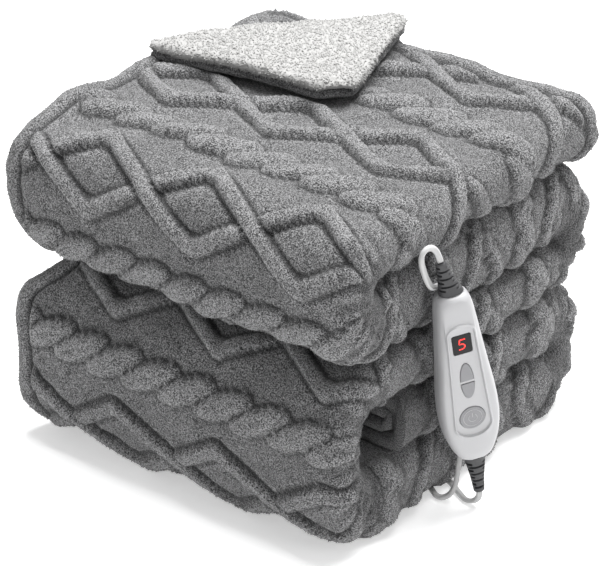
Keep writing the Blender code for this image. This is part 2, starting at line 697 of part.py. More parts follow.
def arrow_outline(base_y, length, margin=0.0, steps=10):
    """Half-round button outline; a negative length points down."""
    sign = math.copysign(1.0, length)
    half, tall = ARROW_HALF_WIDTH + margin, abs(length) + margin
    points = []
    for index in range(steps + 1):
        angle = math.pi * index / steps
        points.append((half * math.cos(angle), base_y + sign * tall * math.sin(angle)))
    points += [(-half, base_y - sign * margin), (half, base_y - sign * margin)] if margin else []
    return points if sign > 0 else points[::-1]


def round_outline(centre_y, radius, steps=28):
    return [(radius * math.cos(2 * math.pi * index / steps),
             centre_y + radius * math.sin(2 * math.pi * index / steps)) for index in range(steps)]


def button_outlines(margin=0.0):
    up, down = BUTTON_UP_AT * CONTROL_LENGTH, BUTTON_DOWN_AT * CONTROL_LENGTH
    return {
        "button_up": arrow_outline(up, ARROW_UP_LENGTH, margin),
        "button_down": arrow_outline(down, -ARROW_DOWN_LENGTH, margin),
        "button_power": round_outline(POWER_AT * CONTROL_LENGTH, POWER_RADIUS + margin),
    }


def build_controller(collection, cutters, looks):
    frame = controller_empty(collection)
    face = CONTROL_HALF_DEPTH - PANEL_DEPTH
    front_levels = ((0.15, 0.0), (5.0, 0.25), (8.0, 1.2), (10.0, 3.0), (11.1, 5.0), (11.5, 7.0))
    back_levels = ((-11.5, 7.0), (-10.6, 4.0), (-8.4, 1.6), (-5.0, 0.3), (-0.15, 0.0))
    front = build_shell("controller_front", front_levels, collection, looks["white"], frame)
    build_shell("controller_back", back_levels, collection, looks["white"], frame)

    button_top = face + BUTTON_PROUD
    button_low = button_top - BUTTON_THICK
    wells = {"panel_cutter": (panel_outline(), face)}
    window_low = face - WINDOW_THICK
    window_y = WINDOW_AT * CONTROL_LENGTH
    wells["window_cutter"] = (box_outline(window_y, WINDOW_SIZE, PIECE_GAP), window_low - PIECE_GAP)
    for name, outline in button_outlines(BUTTON_CLEAR).items():
        wells[name + "_well"] = (outline, button_low - BUTTON_TRAVEL - BUTTON_CLEAR)
    for name, (outline, low) in wells.items():
        mesh = mesh_from_bmesh(name, prism(outline, low, CONTROL_HALF_DEPTH + 4 * MM))
        cut(front, as_cutter(add_object(name, mesh, cutters, parent=frame)))

    window_mesh = mesh_from_bmesh("display_window", prism(box_outline(window_y, WINDOW_SIZE),
                                                          window_low, face))
    window = add_object("display_window", window_mesh, collection, looks["black"], frame)
    digit = build_digit(window_y, face, collection, looks["red"], frame)
    slot = digit_cutter(window_y, face, cutters, frame)
    cut(window, slot)

    for name, outline in button_outlines().items():
        mesh = mesh_from_bmesh(name, prism(outline, button_low, button_top))
        button = add_object(name, mesh, collection, looks["grey"], frame)
        bevel = button.modifiers.new("edge", "BEVEL")
        bevel.width = 0.5 * MM
        bevel.segments = 2
        bevel.limit_method = "ANGLE"
        bevel.angle_limit = math.radians(50)
        smooth_shade(button, 35)
    return frame, digit


def digit_outline(grow=0.0):
    """The figure five as one closed outline, drawn in straight segments."""
    half_w, half_h = DIGIT_WIDTH / 2, DIGIT_HEIGHT / 2
    bar = DIGIT_STROKE / 2
    left, right = -half_w, half_w
    return [
        (right + grow, half_h + grow), (left - grow, half_h + grow),
        (left - grow, -bar - grow), (right - 2 * bar - grow, -bar - grow),
        (right - 2 * bar - grow, -half_h + 2 * bar + grow), (left - grow, -half_h + 2 * bar + grow),
        (left - grow, -half_h - grow), (right + grow, -half_h - grow),
        (right + grow, bar + grow), (left + 2 * bar + grow, bar + grow),
        (left + 2 * bar + grow, half_h - 2 * bar - grow), (right + grow, half_h - 2 * bar - grow),
    ]


def digit_prism(window_y, low, high, margin=0.0):
    outline = [(x + DIGIT_SLANT * y, y + window_y) for x, y in digit_outline(margin)]
    return prism(outline, low, high)


def build_digit(window_y, face, collection, material, parent):
    mesh = mesh_from_bmesh("display_digit", digit_prism(window_y, face - 0.6 * MM, face - 0.1 * MM))
    return add_object("display_digit", mesh, collection, material, parent)


def digit_cutter(window_y, face, cutters, parent):
    mesh = mesh_from_bmesh("digit_cutter", digit_prism(window_y, face - 0.9 * MM, face + 1 * MM, 0.3 * MM))
    return as_cutter(add_object("digit_cutter", mesh, cutters, parent=parent))


# ------------------------------------------------------------- leads and plug
def build_relief(name, base, tip, axis, across, sizes, collection, material):
    """Tapered oval sleeve square to the axis; sizes are (share, half width, half depth) in mm."""
    across = (across - axis * across.dot(axis)).normalized()
    out = axis.cross(across)
    foot = base + axis * PIECE_GAP
    rings = []
    for share, half_width, half_depth in sizes:
        centre = foot.lerp(tip, share)
        ring = []
        for index in range(16):
            across_part, out_part = bend_curve(2 * math.pi * index / 16)
            ring.append(centre + across * half_width * MM * across_part
                        + out * half_depth * MM * out_part)
        rings.append(ring)
    relief = add_object(name, mesh_from_bmesh(name, loft(rings)), collection, material)
    smooth_shade(relief, 35)
    return relief


def smooth_route(route, spacing):
    """Points at an even spacing on a smooth curve through the route's points."""
    anchors = [Vector(point) * MM for point in route]
    anchors = [2 * anchors[0] - anchors[1]] + anchors + [2 * anchors[-1] - anchors[-2]]
    dense = []
    for before, first, last, after in zip(anchors, anchors[1:], anchors[2:], anchors[3:]):
        span = (last - first).length
        start_slope = (last - before) / ((last - before).length + 1e-9) * span
        end_slope = (after - first) / ((after - first).length + 1e-9) * span
        for index in range(24):
            t = index / 24
            dense.append(first * (2 * t ** 3 - 3 * t ** 2 + 1) + start_slope * (t ** 3 - 2 * t ** 2 + t)
                         + last * (3 * t ** 2 - 2 * t ** 3) + end_slope * (t ** 3 - t ** 2))
    dense.append(anchors[-2])
    travelled = [0.0]
    for first, last in zip(dense, dense[1:]):
        travelled.append(travelled[-1] + (last - first).length)
    count = max(2, round(travelled[-1] / spacing))
    points = []
    index = 0
    for step in range(count + 1):
        target = travelled[-1] * step / count
        while index < len(dense) - 2 and travelled[index + 1] < target:
            index += 1
        share = (target - travelled[index]) / max(travelled[index + 1] - travelled[index], 1e-9)
        points.append(dense[index].lerp(dense[index + 1], min(share, 1.0)))
    return points


def build_cord(name, route, spacing, collection, material):
    curve = bpy.data.curves.new(name, "CURVE")
    curve.dimensions = "3D"
    curve.bevel_depth = CORD_DIAMETER / 2
    curve.bevel_resolution = 2
    curve.use_fill_caps = True
    points = smooth_route(route, spacing)
    spline = curve.splines.new("POLY")
    spline.points.add(len(points) - 1)
    for point, place in zip(spline.points, points):
        point.co = (*place, 1.0)
    cord = bpy.data.objects.new(name, curve)
    collection.objects.link(cord)
    curve.materials.append(material)
    return cord


def build_coil(collection, material):
    """The wound turns as one turned ring."""
    profile = []
    for index in range(12):
        across, up = bend_curve(2 * math.pi * index / 12)
        profile.append((COIL_RADIUS + COIL_HALF_WIDTH * across, 0.0,
                        COIL_HALF_HEIGHT + PIECE_GAP + COIL_HALF_HEIGHT * up))
    mesh = bpy.data.meshes.new("mains_coil")
    edges = [(index, (index + 1) % len(profile)) for index in range(len(profile))]
    mesh.from_pydata(profile, edges, [])
    coil = add_object("mains_coil", mesh, collection, material)
    coil.location = (COIL_CENTRE.x, COIL_CENTRE.y, 0.0)
    screw = coil.modifiers.new("turn", "SCREW")
    screw.axis = "Z"
    screw.angle = 2 * math.pi
    screw.steps = 36
    screw.render_steps = 36
    screw.use_merge_vertices = True
    screw.merge_threshold = 0.0001
    screw.use_normal_calculate = True
    return coil


def rounded_box(name, size, centre, edge, collection, material, segments=2):
    bm = bmesh.new()
    bmesh.ops.create_cube(bm, size=1.0)
    bmesh.ops.scale(bm, vec=size, verts=bm.verts)
    block = add_object(name, mesh_from_bmesh(name, bm), collection, material)
    block.location = centre
    bevel = block.modifiers.new("edge", "BEVEL")
    bevel.width = edge
    bevel.segments = segments
    bevel.limit_method = "ANGLE"
    return block


def build_gland(collection, material):
    """Moulded inlet on the hem, where the lead goes into the cloth."""
    length, width, height = GLAND_SIZE
    centre = Vector((HEM_X - 0.4 * MM - length / 2, GLAND_Y, height / 2 + PIECE_GAP))
    return rounded_box("lead_gland", GLAND_SIZE, centre, GLAND_EDGE, collection, material)


def build_plug(collection, cutters, looks):
    tail = Vector((PLUG_TAIL_X, PLUG_Y, PLUG_HEIGHT / 2 + PIECE_GAP))
    sizes = ((0.0, 4.2, 4.2), (0.25, 5.2, 5.0), (0.45, 9.2, 6.6), (0.62, 11.0, 7.5),
             (0.93, 11.0, 7.5), (1.0, 10.2, 6.8))
    forward = Vector((1, 0, 0))
    plug = build_relief("mains_plug", tail, tail + forward * PLUG_LENGTH, forward, Vector((0, 1, 0)),
                        sizes, collection, looks["white"])
    face_x = PLUG_TAIL_X + PLUG_LENGTH
    for name, sign in (("plug_blade_left", -1), ("plug_blade_right", 1)):
        centre = Vector((face_x + BLADE_SIZE[0] / 2 - BLADE_SINK, PLUG_Y + sign * BLADE_SPACING / 2, tail.z))
        rounded_box(name, BLADE_SIZE, centre, BLADE_EDGE, collection, looks["metal"], 1)
        pocket_size = Vector(BLADE_SIZE) + Vector((2, 2, 2)) * PIECE_GAP
        bm = bmesh.new()
        bmesh.ops.create_cube(bm, size=1.0)
        bmesh.ops.scale(bm, vec=pocket_size, verts=bm.verts)
        bmesh.ops.translate(bm, vec=centre, verts=bm.verts)
        pocket = add_object(name + "_pocket", mesh_from_bmesh(name + "_pocket", bm), cutters)
        cut(plug, as_cutter(pocket))
    return plug


def build_leads(collection, cutters, looks):
    axis = (CONTROL_HEAD - CONTROL_FOOT).normalized()
    heading = Vector((math.sin(CONTROL_TURN), -math.cos(CONTROL_TURN), 0.0))
    across = axis.cross(heading)
    upper = ((0.0, 9.2, 6.8), (0.10, 8.4, 6.2), (0.55, 5.6, 4.6), (1.0, 3.9, 3.6))
    lower = ((0.0, 8.6, 6.8), (0.12, 7.8, 6.0), (0.6, 5.2, 4.4), (1.0, 4.0, 3.6))
    build_relief("strain_relief_upper", CONTROL_HEAD, UPPER_RELIEF_TIP, axis, across, upper,
                 collection, looks["charcoal"])
    build_relief("strain_relief_lower", CONTROL_FOOT, LOWER_RELIEF_TIP, -axis, across, lower,
                 collection, looks["charcoal"])
    build_cord("blanket_lead", BLANKET_LEAD_ROUTE, 9.2 * MM, collection, looks["white"])
    build_cord("mains_lead", MAINS_LEAD_ROUTE, 9.2 * MM, collection, looks["white"])
    build_cord("plug_lead", PLUG_LEAD_ROUTE, 7 * MM, collection, looks["white"])
    build_coil(collection, looks["white"])
    build_gland(collection, looks["charcoal"])
    build_plug(collection, cutters, looks)


def main():
    clear_scene()
    parts = make_collection(PART_NAME)
    cutters = make_collection("cutters")
    looks = {
        "plush": make_material("grey_plush", (0.16, 0.16, 0.165), 0.95),
        "sherpa": make_material("white_sherpa", (0.80, 0.79, 0.78), 0.95),
        "white": make_material("white_plastic", (0.80, 0.80, 0.80), 0.35),
        "grey": make_material("button_rubber", (0.36, 0.36, 0.37), 0.55),
        "black": make_material("display_glass", (0.01, 0.01, 0.01), 0.08),
        "red": make_material("lit_digit", (0.80, 0.03, 0.03), 0.40),
        "charcoal": make_material("relief_rubber", (0.10, 0.10, 0.11), 0.60),
        "metal": make_material("blade_metal", (0.72, 0.66, 0.48), 0.25, 1.0),
    }
    build_blanket(parts, cutters, looks["plush"])
    build_lining(parts, looks["sherpa"])
    build_controller(parts, cutters, looks)
    build_leads(parts, cutters, looks)


main()
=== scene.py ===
from math import atan, copysign, cos, hypot, pi, radians, sin, sqrt

import bmesh
import bpy
import numpy as np
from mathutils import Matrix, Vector, noise


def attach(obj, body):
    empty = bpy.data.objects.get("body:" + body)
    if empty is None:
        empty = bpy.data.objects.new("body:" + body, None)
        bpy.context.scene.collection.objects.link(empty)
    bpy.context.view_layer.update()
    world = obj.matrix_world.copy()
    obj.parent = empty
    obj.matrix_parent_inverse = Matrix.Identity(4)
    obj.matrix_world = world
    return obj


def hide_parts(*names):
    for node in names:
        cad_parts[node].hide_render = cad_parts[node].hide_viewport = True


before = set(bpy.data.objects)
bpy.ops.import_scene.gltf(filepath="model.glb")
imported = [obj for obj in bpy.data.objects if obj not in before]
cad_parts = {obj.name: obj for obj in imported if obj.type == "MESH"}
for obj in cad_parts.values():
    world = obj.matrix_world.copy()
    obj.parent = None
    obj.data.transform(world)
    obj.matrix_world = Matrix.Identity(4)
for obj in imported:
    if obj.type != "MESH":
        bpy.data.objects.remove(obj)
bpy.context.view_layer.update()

# Looks of a folded heated blanket. Lengths are in millimetres up to the last step of each mesh.
mm = 0.001
dice = np.random.default_rng(11)
print("frame loaded:", len(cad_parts), "nodes")


def addObject(name, data):
    added = bpy.data.objects.new(name, data)
    bpy.context.scene.collection.objects.link(added)
    return added


def pointAlong(item, place, heading):
    item.location = place
    item.rotation_euler = heading.to_track_quat("-Z", "Y").to_euler()


shot = {  # metres and degrees
    "azimuth": 38.19,  # from the front edge towards the folded noses
    "elevation": 28.49,
    "distance": 2.035,
    "aimHeight": 0.1202,
    "aimSide": -0.0037,
    "lens": 159.8,
}


def placeCamera():
    turn, rise = radians(shot["azimuth"]), radians(shot["elevation"])
    side = shot["aimSide"]
    aim = Vector((side * cos(turn), side * sin(turn), shot["aimHeight"]))
    towards = Vector((sin(turn) * cos(rise), -cos(turn) * cos(rise), sin(rise)))
    cameraData = bpy.data.cameras.new("studioCamera")
    cameraData.lens = shot["lens"]
    studioCamera = addObject("studioCamera", cameraData)
    pointAlong(studioCamera, aim + towards * shot["distance"], -towards)
    bpy.context.scene.camera = studioCamera


placeCamera()
print("camera placed")


def smoothStep(low, high, values):
    share = np.clip((values - low) / (high - low), 0, 1)
    return share * share * (3 - 2 * share)


def squaredCircle(angle, power=2.3):
    across, up = np.cos(angle), np.sin(angle)
    return np.sign(across) * np.abs(across) ** (2 / power), np.sign(up) * np.abs(up) ** (2 / power)


def circleAngles(count):
    return np.linspace(0, 2 * pi, count, endpoint=False)


def unit(vectors):
    return vectors / np.maximum(np.linalg.norm(vectors, axis=-1, keepdims=True), 1e-9)


def distanceAlong(line):
    return np.concatenate([[0], np.cumsum(np.linalg.norm(np.diff(line, axis=0), axis=1))])


def resample(line, travelled, places):
    return np.column_stack([np.interp(places, travelled, column) for column in line.T])


def evenly(line, count):
    travelled = distanceAlong(line)
    return resample(line, travelled, np.linspace(0, travelled[-1], count))


def sizeAt(table, share):
    # the table's other columns, at a place in its first
    columns = np.array(table).T
    return [np.interp(share, columns[0], column) for column in columns[1:]]


def waves(points, size, wavelength, seed, count=14):
    # soft random swell made of a few slanted waves
    source = np.random.default_rng(seed)
    total = np.zeros(points.shape[:-1])
    for _ in range(count):
        direction = unit(source.normal(size=3)) * source.uniform(0.7, 1.4) * 2 * pi / wavelength
        total += np.sin(points @ direction + source.uniform(0, 2 * pi))
    return size * (total / sqrt(count))


def makePiece(name, points, faces, material, body="root"):
    mesh = bpy.data.meshes.new(name)
    mesh.from_pydata((np.asarray(points) * mm).tolist(), [], faces)
    mesh.update()
    mesh.shade_smooth()
    mesh.materials.append(material)
    piece = addObject(name, mesh)
    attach(piece, body)
    return piece


def ringFaces(rows, width):
    # quads over a grid of closed rings, and a cap at each end
    index = np.arange(rows * width).reshape(rows, width)
    nextOne = np.roll(index, -1, axis=1)
    quads = np.stack([index[:-1], nextOne[:-1], nextOne[1:], index[1:]], axis=2).reshape(-1, 4)
    return quads.tolist() + [index[0][::-1].tolist(), index[-1].tolist()]


def makeLoft(name, rings, material, body="root", sharp=None):
    rings = np.asarray(rings, float)
    piece = makePiece(name, rings.reshape(-1, 3), ringFaces(*rings.shape[:2]), material, body)
    bm = bmesh.new()
    bm.from_mesh(piece.data)
    bmesh.ops.recalc_face_normals(bm, faces=bm.faces)
    bm.to_mesh(piece.data)
    bm.free()
    if sharp:
        piece.data.set_sharp_from_angle(angle=radians(sharp))
    return piece


def fill(tree, node, sockets):
    # each socket takes a plain value, or a link from another node's output
    for key, value in sockets.items():
        if isinstance(value, bpy.types.NodeSocket):
            tree.links.new(value, node.inputs[key])
        else:
            node.inputs[key].default_value = value


def addNode(tree, kind, sockets=(), **settings):
    node = tree.nodes.new(kind)
    for key, value in settings.items():
        setattr(node, key, value)
    fill(tree, node, dict(sockets))
    return node


def makeMaterial(name, look, *values, **constants):
    # the look gives the shader's sockets
    material = bpy.data.materials.new(name)
    material.use_nodes = True
    tree = material.node_tree
    fill(tree, tree.nodes["Principled BSDF"], {**look(tree, *values), **constants})
    return material


def grain(tree, scale, detail=2.0, rough=0.5):
    place = addNode(tree, "ShaderNodeTexCoord").outputs["Object"]
    sockets = {"Vector": place, "Scale": scale, "Detail": detail, "Roughness": rough}
    return addNode(tree, "ShaderNodeTexNoise", sockets).outputs["Fac"]


usualNoise = (0.3, 0.7)  # where most of a noise texture's values lie


def remap(tree, value, low, high, reads=usualNoise):
    return addNode(tree, "ShaderNodeMapRange", enumerate((value, *reads, low, high))).outputs[0]


def multiply(tree, first, second):
    return addNode(tree, "ShaderNodeMath", {0: first, 1: second}, operation="MULTIPLY").outputs[0]


def mixColours(tree, factor, first, second):
    sockets = {0: factor, 6: (*first, 1), 7: (*second, 1)}
    return addNode(tree, "ShaderNodeMix", sockets, data_type="RGBA").outputs[2]


def bumped(tree, height, strength, distance):
    sockets = {"Height": height, "Strength": strength, "Distance": distance}
    return addNode(tree, "ShaderNodeBump", sockets).outputs["Normal"]


# in both looks below, dark is the colour of painted shade in the hollows and between the curls, and light the
# colour of painted light on tips and ridges
plushLook = {
    "dark": (0.012, 0.012, 0.013),
    "light": (0.34, 0.34, 0.345),
    "constants": {"Roughness": 0.9, "Sheen Weight": 0.28, "Sheen Roughness": 0.45},
    "grain": (960, 2.0, 0.6),  # scale in a metre, detail, roughness
    "reads": (0.40, 0.64),
    "fine": (0.0, 1.34),
    "cloud": (22, 0.86, 1.08),  # scale, darkest and lightest patch
    "bump": (1.0, 0.002),
}
sherpaLook = {
    "dark": (0.27, 0.268, 0.264),
    "light": (0.375, 0.372, 0.366),
    "constants": {"Roughness": 0.95, "Sheen Weight": 0.3},
    "grain": (520, 2.0, 0.5),
    "reads": usualNoise,
    "fine": (0.84, 1.08),
    "bump": (0.5, 0.0008),
}


def pileLook(tree, look, lift=1.0):
    # painted shade and painted light: dark in the hollows and light on the tips, by the tone and shade values
    # stored on the mesh
    pileToneAndShade = addNode(tree, "ShaderNodeAttribute", attribute_name="pileToneAndShade").outputs["Fac"]
    tufts = grain(tree, *look["grain"])
    factor = multiply(tree, pileToneAndShade, remap(tree, tufts, *look["fine"], look["reads"]))
    if "cloud" in look:
        scale, darkest, lightest = look["cloud"]
        factor = multiply(tree, factor, remap(tree, grain(tree, scale), darkest, lightest))
    # lift paints a copy of the look lighter, as painted light
    light = tuple(value * lift for value in look["light"])
    return {"Base Color": mixColours(tree, factor, look["dark"], light),
            "Normal": bumped(tree, tufts, *look["bump"]), **look["constants"]}


moulded = {"patchScale": 35, "gloss": (0.85, 1.15), "bumpDepth": 0.0002}


def mouldedLook(tree, colour, roughness, spread, bump, scale=900):
    # moulded plastic or rubber with a faint texture and slightly uneven gloss
    fine = grain(tree, scale)
    shade = remap(tree, grain(tree, moulded["patchScale"]), 0.0, 1.0)
    dark = tuple(value * (1 - spread) for value in colour)
    gloss = [roughness * share for share in moulded["gloss"]]
    return {"Base Color": mixColours(tree, shade, dark, colour), "Roughness": remap(tree, fine, *gloss),
            "Normal": bumped(tree, fine, bump, moulded["bumpDepth"])}


def litLook(tree, dark, light, scale):
    colour = mixColours(tree, remap(tree, grain(tree, scale, 1.0), 0.0, 1.0), dark, light)
    return {"Base Color": colour, "Emission Color": colour}


looks = {
    "plush": makeMaterial("cableKnitPlush", pileLook, plushLook),
    # the tufts' copy of the plush look is painted a tenth lighter, as painted light on the tufts
    "pile": makeMaterial("plushPile", pileLook, plushLook, 1.1),
    "sherpa": makeMaterial("sherpaCurls", pileLook, sherpaLook),
    # colour, roughness, spread of the colour, bump
    "shell": makeMaterial("whiteShell", mouldedLook, (0.44, 0.44, 0.45), 0.34, 0.02, 0.05),
    "shellBack": makeMaterial("whiteShellBack", mouldedLook, (0.42, 0.42, 0.43), 0.42, 0.03, 0.08),
    "lead": makeMaterial("whiteLead", mouldedLook, (0.52, 0.52, 0.52), 0.45, 0.05, 0.10),
    "button": makeMaterial("greyButton", mouldedLook, (0.24, 0.24, 0.25), 0.50, 0.05, 0.15),
    "mark": makeMaterial("paleMark", mouldedLook, (0.42, 0.42, 0.43), 0.45, 0.04, 0.12),
    "glass": makeMaterial("displayGlass", mouldedLook, (0.006, 0.006, 0.007), 0.16, 0.3, 0.01,
                          **{"Specular IOR Level": 0.25}),
    "digit": makeMaterial("litDigit", litLook, (0.75, 0.012, 0.010), (0.95, 0.03, 0.02), 400,
                          **{"Roughness": 0.4, "Emission Strength": 1.1}),
    "relief": makeMaterial("charcoalRubber", mouldedLook, (0.042, 0.042, 0.045), 0.55, 0.15, 0.25),
    "blade": makeMaterial("brassBlade", mouldedLook, (0.75, 0.66, 0.42), 0.24, 0.1, 0.12, Metallic=1.0),
    "floor": makeMaterial("paleFloor", mouldedLook, (0.86, 0.86, 0.86), 0.8, 0.01, 0.03, 300,
                          **{"Emission Color": (1, 1, 1, 1), "Emission Strength": 0.42}),
}
print("materials made:", len(looks))

controller = {
    "foot": (180, -28.4, 50.9),
    "head": (174, -56.4, 195.9),
    "turn": 53,  # heading of the face, from the front towards the noses
    # share of the length, half width
    "outline": ((0.00, 9.5), (0.03, 13), (0.08, 16.8), (0.16, 20.4), (0.25, 22.2), (0.34, 22.3),
                (0.45, 21.2), (0.58, 19), (0.72, 16.9), (0.86, 14.9), (0.95, 13.2), (1.00, 10.5)),
    "outlineCorner": 3,
    "outlinePoints": 72,
    # height over the parting line, inset
    "front": ((0.15, 0.35), (0.35, 0.1), (0.8, 0), (2.5, 0.05), (4, 0.15), (5.5, 0.4), (6.8, 0.8),
              (8, 1.35), (9, 2.05), (9.8, 2.8), (10.3, 3.4)),
    "back": ((-11.5, 7.5), (-11.4, 6), (-11, 4.6), (-10.2, 3.2), (-9.2, 2.1), (-8, 1.3), (-6.4, 0.7),
             (-4.8, 0.3), (-3, 0.1), (-0.8, 0), (-0.35, 0.1), (-0.15, 0.35)),
    "shoulder": ((0.35, 10.75), (0.7, 11.1), (1, 11.35)),  # share of the way to the rim, height
    "panel": (0.175, 0.84, 13.2, 9.6),  # low and high end, half width there
    "panelFace": 10.7,
    "rimWidth": 1.8,
    "rimTop": 12.7,
    "window": (14.2, 16.6, 0.733),
    "windowFit": 0.25,
    "windowDepth": 1.5,
    "upperTip": (171.6, -66.6, 222.2),
    "lowerTip": (181.3, -22.2, 16.8),
}
controlFoot, controlHead = Vector(controller["foot"]), Vector(controller["head"])
controlLength = (controlHead - controlFoot).length
controlUp = (controlHead - controlFoot).normalized()
controlTurn = radians(controller["turn"])
controlHeading = Vector((sin(controlTurn), -cos(controlTurn), 0))
controlOut = (controlHeading - controlUp * controlHeading.dot(controlUp)).normalized()
controlAcross = controlUp.cross(controlOut)

leads = {
    "diameter": 4.6,
    "halfThickness": 1.9,
    "ribs": 3,
    "ribFloor": 0.66,  # thickness between the ribs, as a share
    "squareness": 5,
    "sectionPoints": 14,
    "levelling": 0.12,  # how soon the flat side turns level
    "sink": 0.3,  # a flat lead lies this much lower than a round one
    "sinkHeights": (2.6, 12),
    "spacing": 2.2,
    "blanketRoute": (
        (171.6, -66.8, 223.4), (171.1, -68.4, 228), (170.3, -70.2, 232.2), (169.2, -73.2, 235.4),
        (168, -76.8, 236.4), (166.9, -80, 234.6), (166, -81.4, 230.8), (165.5, -80.6, 225.8),
        (165.2, -78.2, 219.6), (164.8, -73.2, 209.6), (164.5, -66.6, 200.6), (164.2, -59.2, 198),
        (164, -52, 197), (164.6, -45.4, 193.6), (166.1, -39.9, 180.6), (167, -35.7, 163.1),
        (167.6, -31.7, 144.6), (167.8, -27.9, 124.5), (168.2, -24.6, 104.2), (168.2, -22.4, 85.2),
        (167.1, -21.9, 68.4), (165.6, -22.7, 54.5), (164.1, -23.3, 41), (162.6, -23.4, 25.5),
        (161, -24, 13.5), (158.8, -27, 6.6), (154.2, -30.2, 3.2), (148.4, -30, 2.6),
        (142.4, -26.4, 2.6), (136.4, -22.8, 2.6), (128, -21.2, 2.6), (112, -21, 2.6),
        (20, -21, 2.6), (-80, -21, 2.6), (-150, -21, 2.6), (-176, -21.4, 2.6),
        (-193, -25, 2.6), (-204, -34, 2.8), (-207, -45, 3.4), (-201, -54.5, 4.4),
        (-190.5, -58, 4.8), (-176.8, -58, 4.8)),
    "mainsRoute": (
        (181.3, -22.1, 16.4), (181.2, -21.4, 12.6), (179.8, -21, 8.4), (176.8, -21, 5),
        (173.2, -21.2, 3.2), (169, -21.2, 2.6), (164.6, -19.4, 2.6), (157.6, -15.4, 2.6),
        (150.6, -11.2, 2.6), (143.6, -7.8, 2.6), (136.4, -6.3, 2.6), (126, -6, 2.6),
        (20, -6, 2.6), (-80, -6, 2.6), (-150, -6, 2.6), (-190, -6, 2.6)),
    "plugRoute": (
        (-243.7, 52, 2.6), (-243, 60.5, 2.8), (-240.4, 69.2, 3.8),
        (-235.4, 76.2, 5.6), (-230.2, 79.4, 7.2), (-226.4, 80, 7.8)),
    "coilCentre": (-212, 27.7),
    "coilStart": 270,  # degrees
    # turns wound so far, radius and height of the lead's middle
    "coilStops": ((0.00, 33.7, 2.6), (0.15, 32.6, 2.6), (0.90, 31.2, 2.6), (1.10, 26.5, 2.6),
                  (1.90, 26.4, 2.6), (2.10, 21.9, 2.6), (2.90, 21.8, 2.6), (3.08, 21.8, 6.5),
                  (3.90, 21.9, 6.5), (4.10, 26.4, 6.5), (4.90, 26.5, 6.5), (5.10, 31, 6.5),
                  (5.90, 31, 6.5), (6.03, 30, 10.3), (6.16, 21.9, 10.3), (6.90, 21.9, 10.3),
                  (7.10, 26.4, 10.3), (7.90, 26.5, 10.3), (8.10, 30.8, 10.3), (8.95, 31.2, 10.3),
                  (9.15, 35.2, 4.6), (9.24, 35.6, 2.7)),
}


def smoothPath(route, spacing, steps=24):
    # evenly spaced points on a smooth curve through the route's points
    anchors = np.array(route, float)
    anchors = np.vstack([2 * anchors[0] - anchors[1], anchors, 2 * anchors[-1] - anchors[-2]])
    before, first, last, after = anchors[:-3], anchors[1:-2], anchors[2:-1], anchors[3:]
    span = np.linalg.norm(last - first, axis=1, keepdims=True)
    startSlope = unit(last - before) * span
    endSlope = unit(after - first) * span
    t = (np.arange(steps) / steps)[None, :, None]
    dense = (first[:, None] * (2 * t ** 3 - 3 * t ** 2 + 1) + startSlope[:, None] * (t ** 3 - 2 * t ** 2 + t)
             + last[:, None] * (3 * t ** 2 - 2 * t ** 3) + endSlope[:, None] * (t ** 3 - t ** 2))
    dense = np.vstack([dense.reshape(-1, anchors.shape[1]), anchors[-2:-1]])
    return evenly(dense, max(2, round(pathLength(dense) / spacing)) + 1)


def pathLength(path):
    return float(distanceAlong(path)[-1])


def leadSection():
    # flat lead with shallow ribs, drawn once round
    half, low = leads["diameter"] / 2, leads["ribFloor"]
    u = half * np.cos(np.linspace(0, pi, leads["sectionPoints"]))
    wave = low + (1 - low) * np.abs(np.sin(leads["ribs"] * pi * (u + half) / (2 * half)))
    rounding = (1 - np.clip(np.abs(u) / half, 0, 1) ** leads["squareness"]) ** 0.5
    v = leads["halfThickness"] * wave * rounding
    return np.vstack([np.column_stack([u, v]), np.column_stack([-u[1:-1], -v[1:-1][::-1]])])


def leadFrames(path, firstSide):
    # the lead's flat side turns level wherever the lead itself lies level
    tangents = unit(np.gradient(path, axis=0))
    sides = np.zeros_like(path)
    side = np.array(firstSide, float)
    for index, tangent in enumerate(tangents):
        level = np.cross((0, 0, 1), tangent)
        pull = leads["levelling"] * max(0.0, float(np.linalg.norm(level)) - 0.5)
        level = level if level @ side >= 0 else -level
        side = side * (1 - pull) + level * pull
        side = unit(side - tangent * (side @ tangent))
        sides[index] = side
    return sides, np.cross(tangents, sides)


def makeLead(name, path, firstSide):
    sides, ups = leadFrames(path, firstSide)
    section = leadSection()
    rings = path[:, None] + sides[:, None] * section[None, :, :1] + ups[:, None] * section[None, :, 1:]
    return makeLoft(name, rings, looks["lead"])


def lowered(path):
    path = path.copy()
    path[:, 2] -= leads["sink"] * (1 - smoothStep(*leads["sinkHeights"], path[:, 2]))
    return path


def coilPoints(steps=24):
    turnsDone = np.arange(0.0, leads["coilStops"][-1][0], 1 / steps)
    angle = radians(leads["coilStart"]) - 2 * pi * turnsDone
    radius, height = sizeAt(leads["coilStops"], turnsDone)
    centreX, centreY = leads["coilCentre"]
    return np.column_stack([centreX + radius * np.cos(angle), centreY + radius * np.sin(angle), height])


blanketPath = lowered(smoothPath(leads["blanketRoute"], leads["spacing"]))
mainsAnchors = np.vstack([leads["mainsRoute"], coilPoints(), leads["plugRoute"]])
mainsPath = lowered(smoothPath(mainsAnchors, leads["spacing"]))
blanketLead = makeLead("blanketLead", blanketPath, controlAcross)
mainsLead = makeLead("mainsLead", mainsPath, controlAcross)
print("leads laid: %.0f and %.0f mm" % (pathLength(blanketPath), pathLength(mainsPath)))

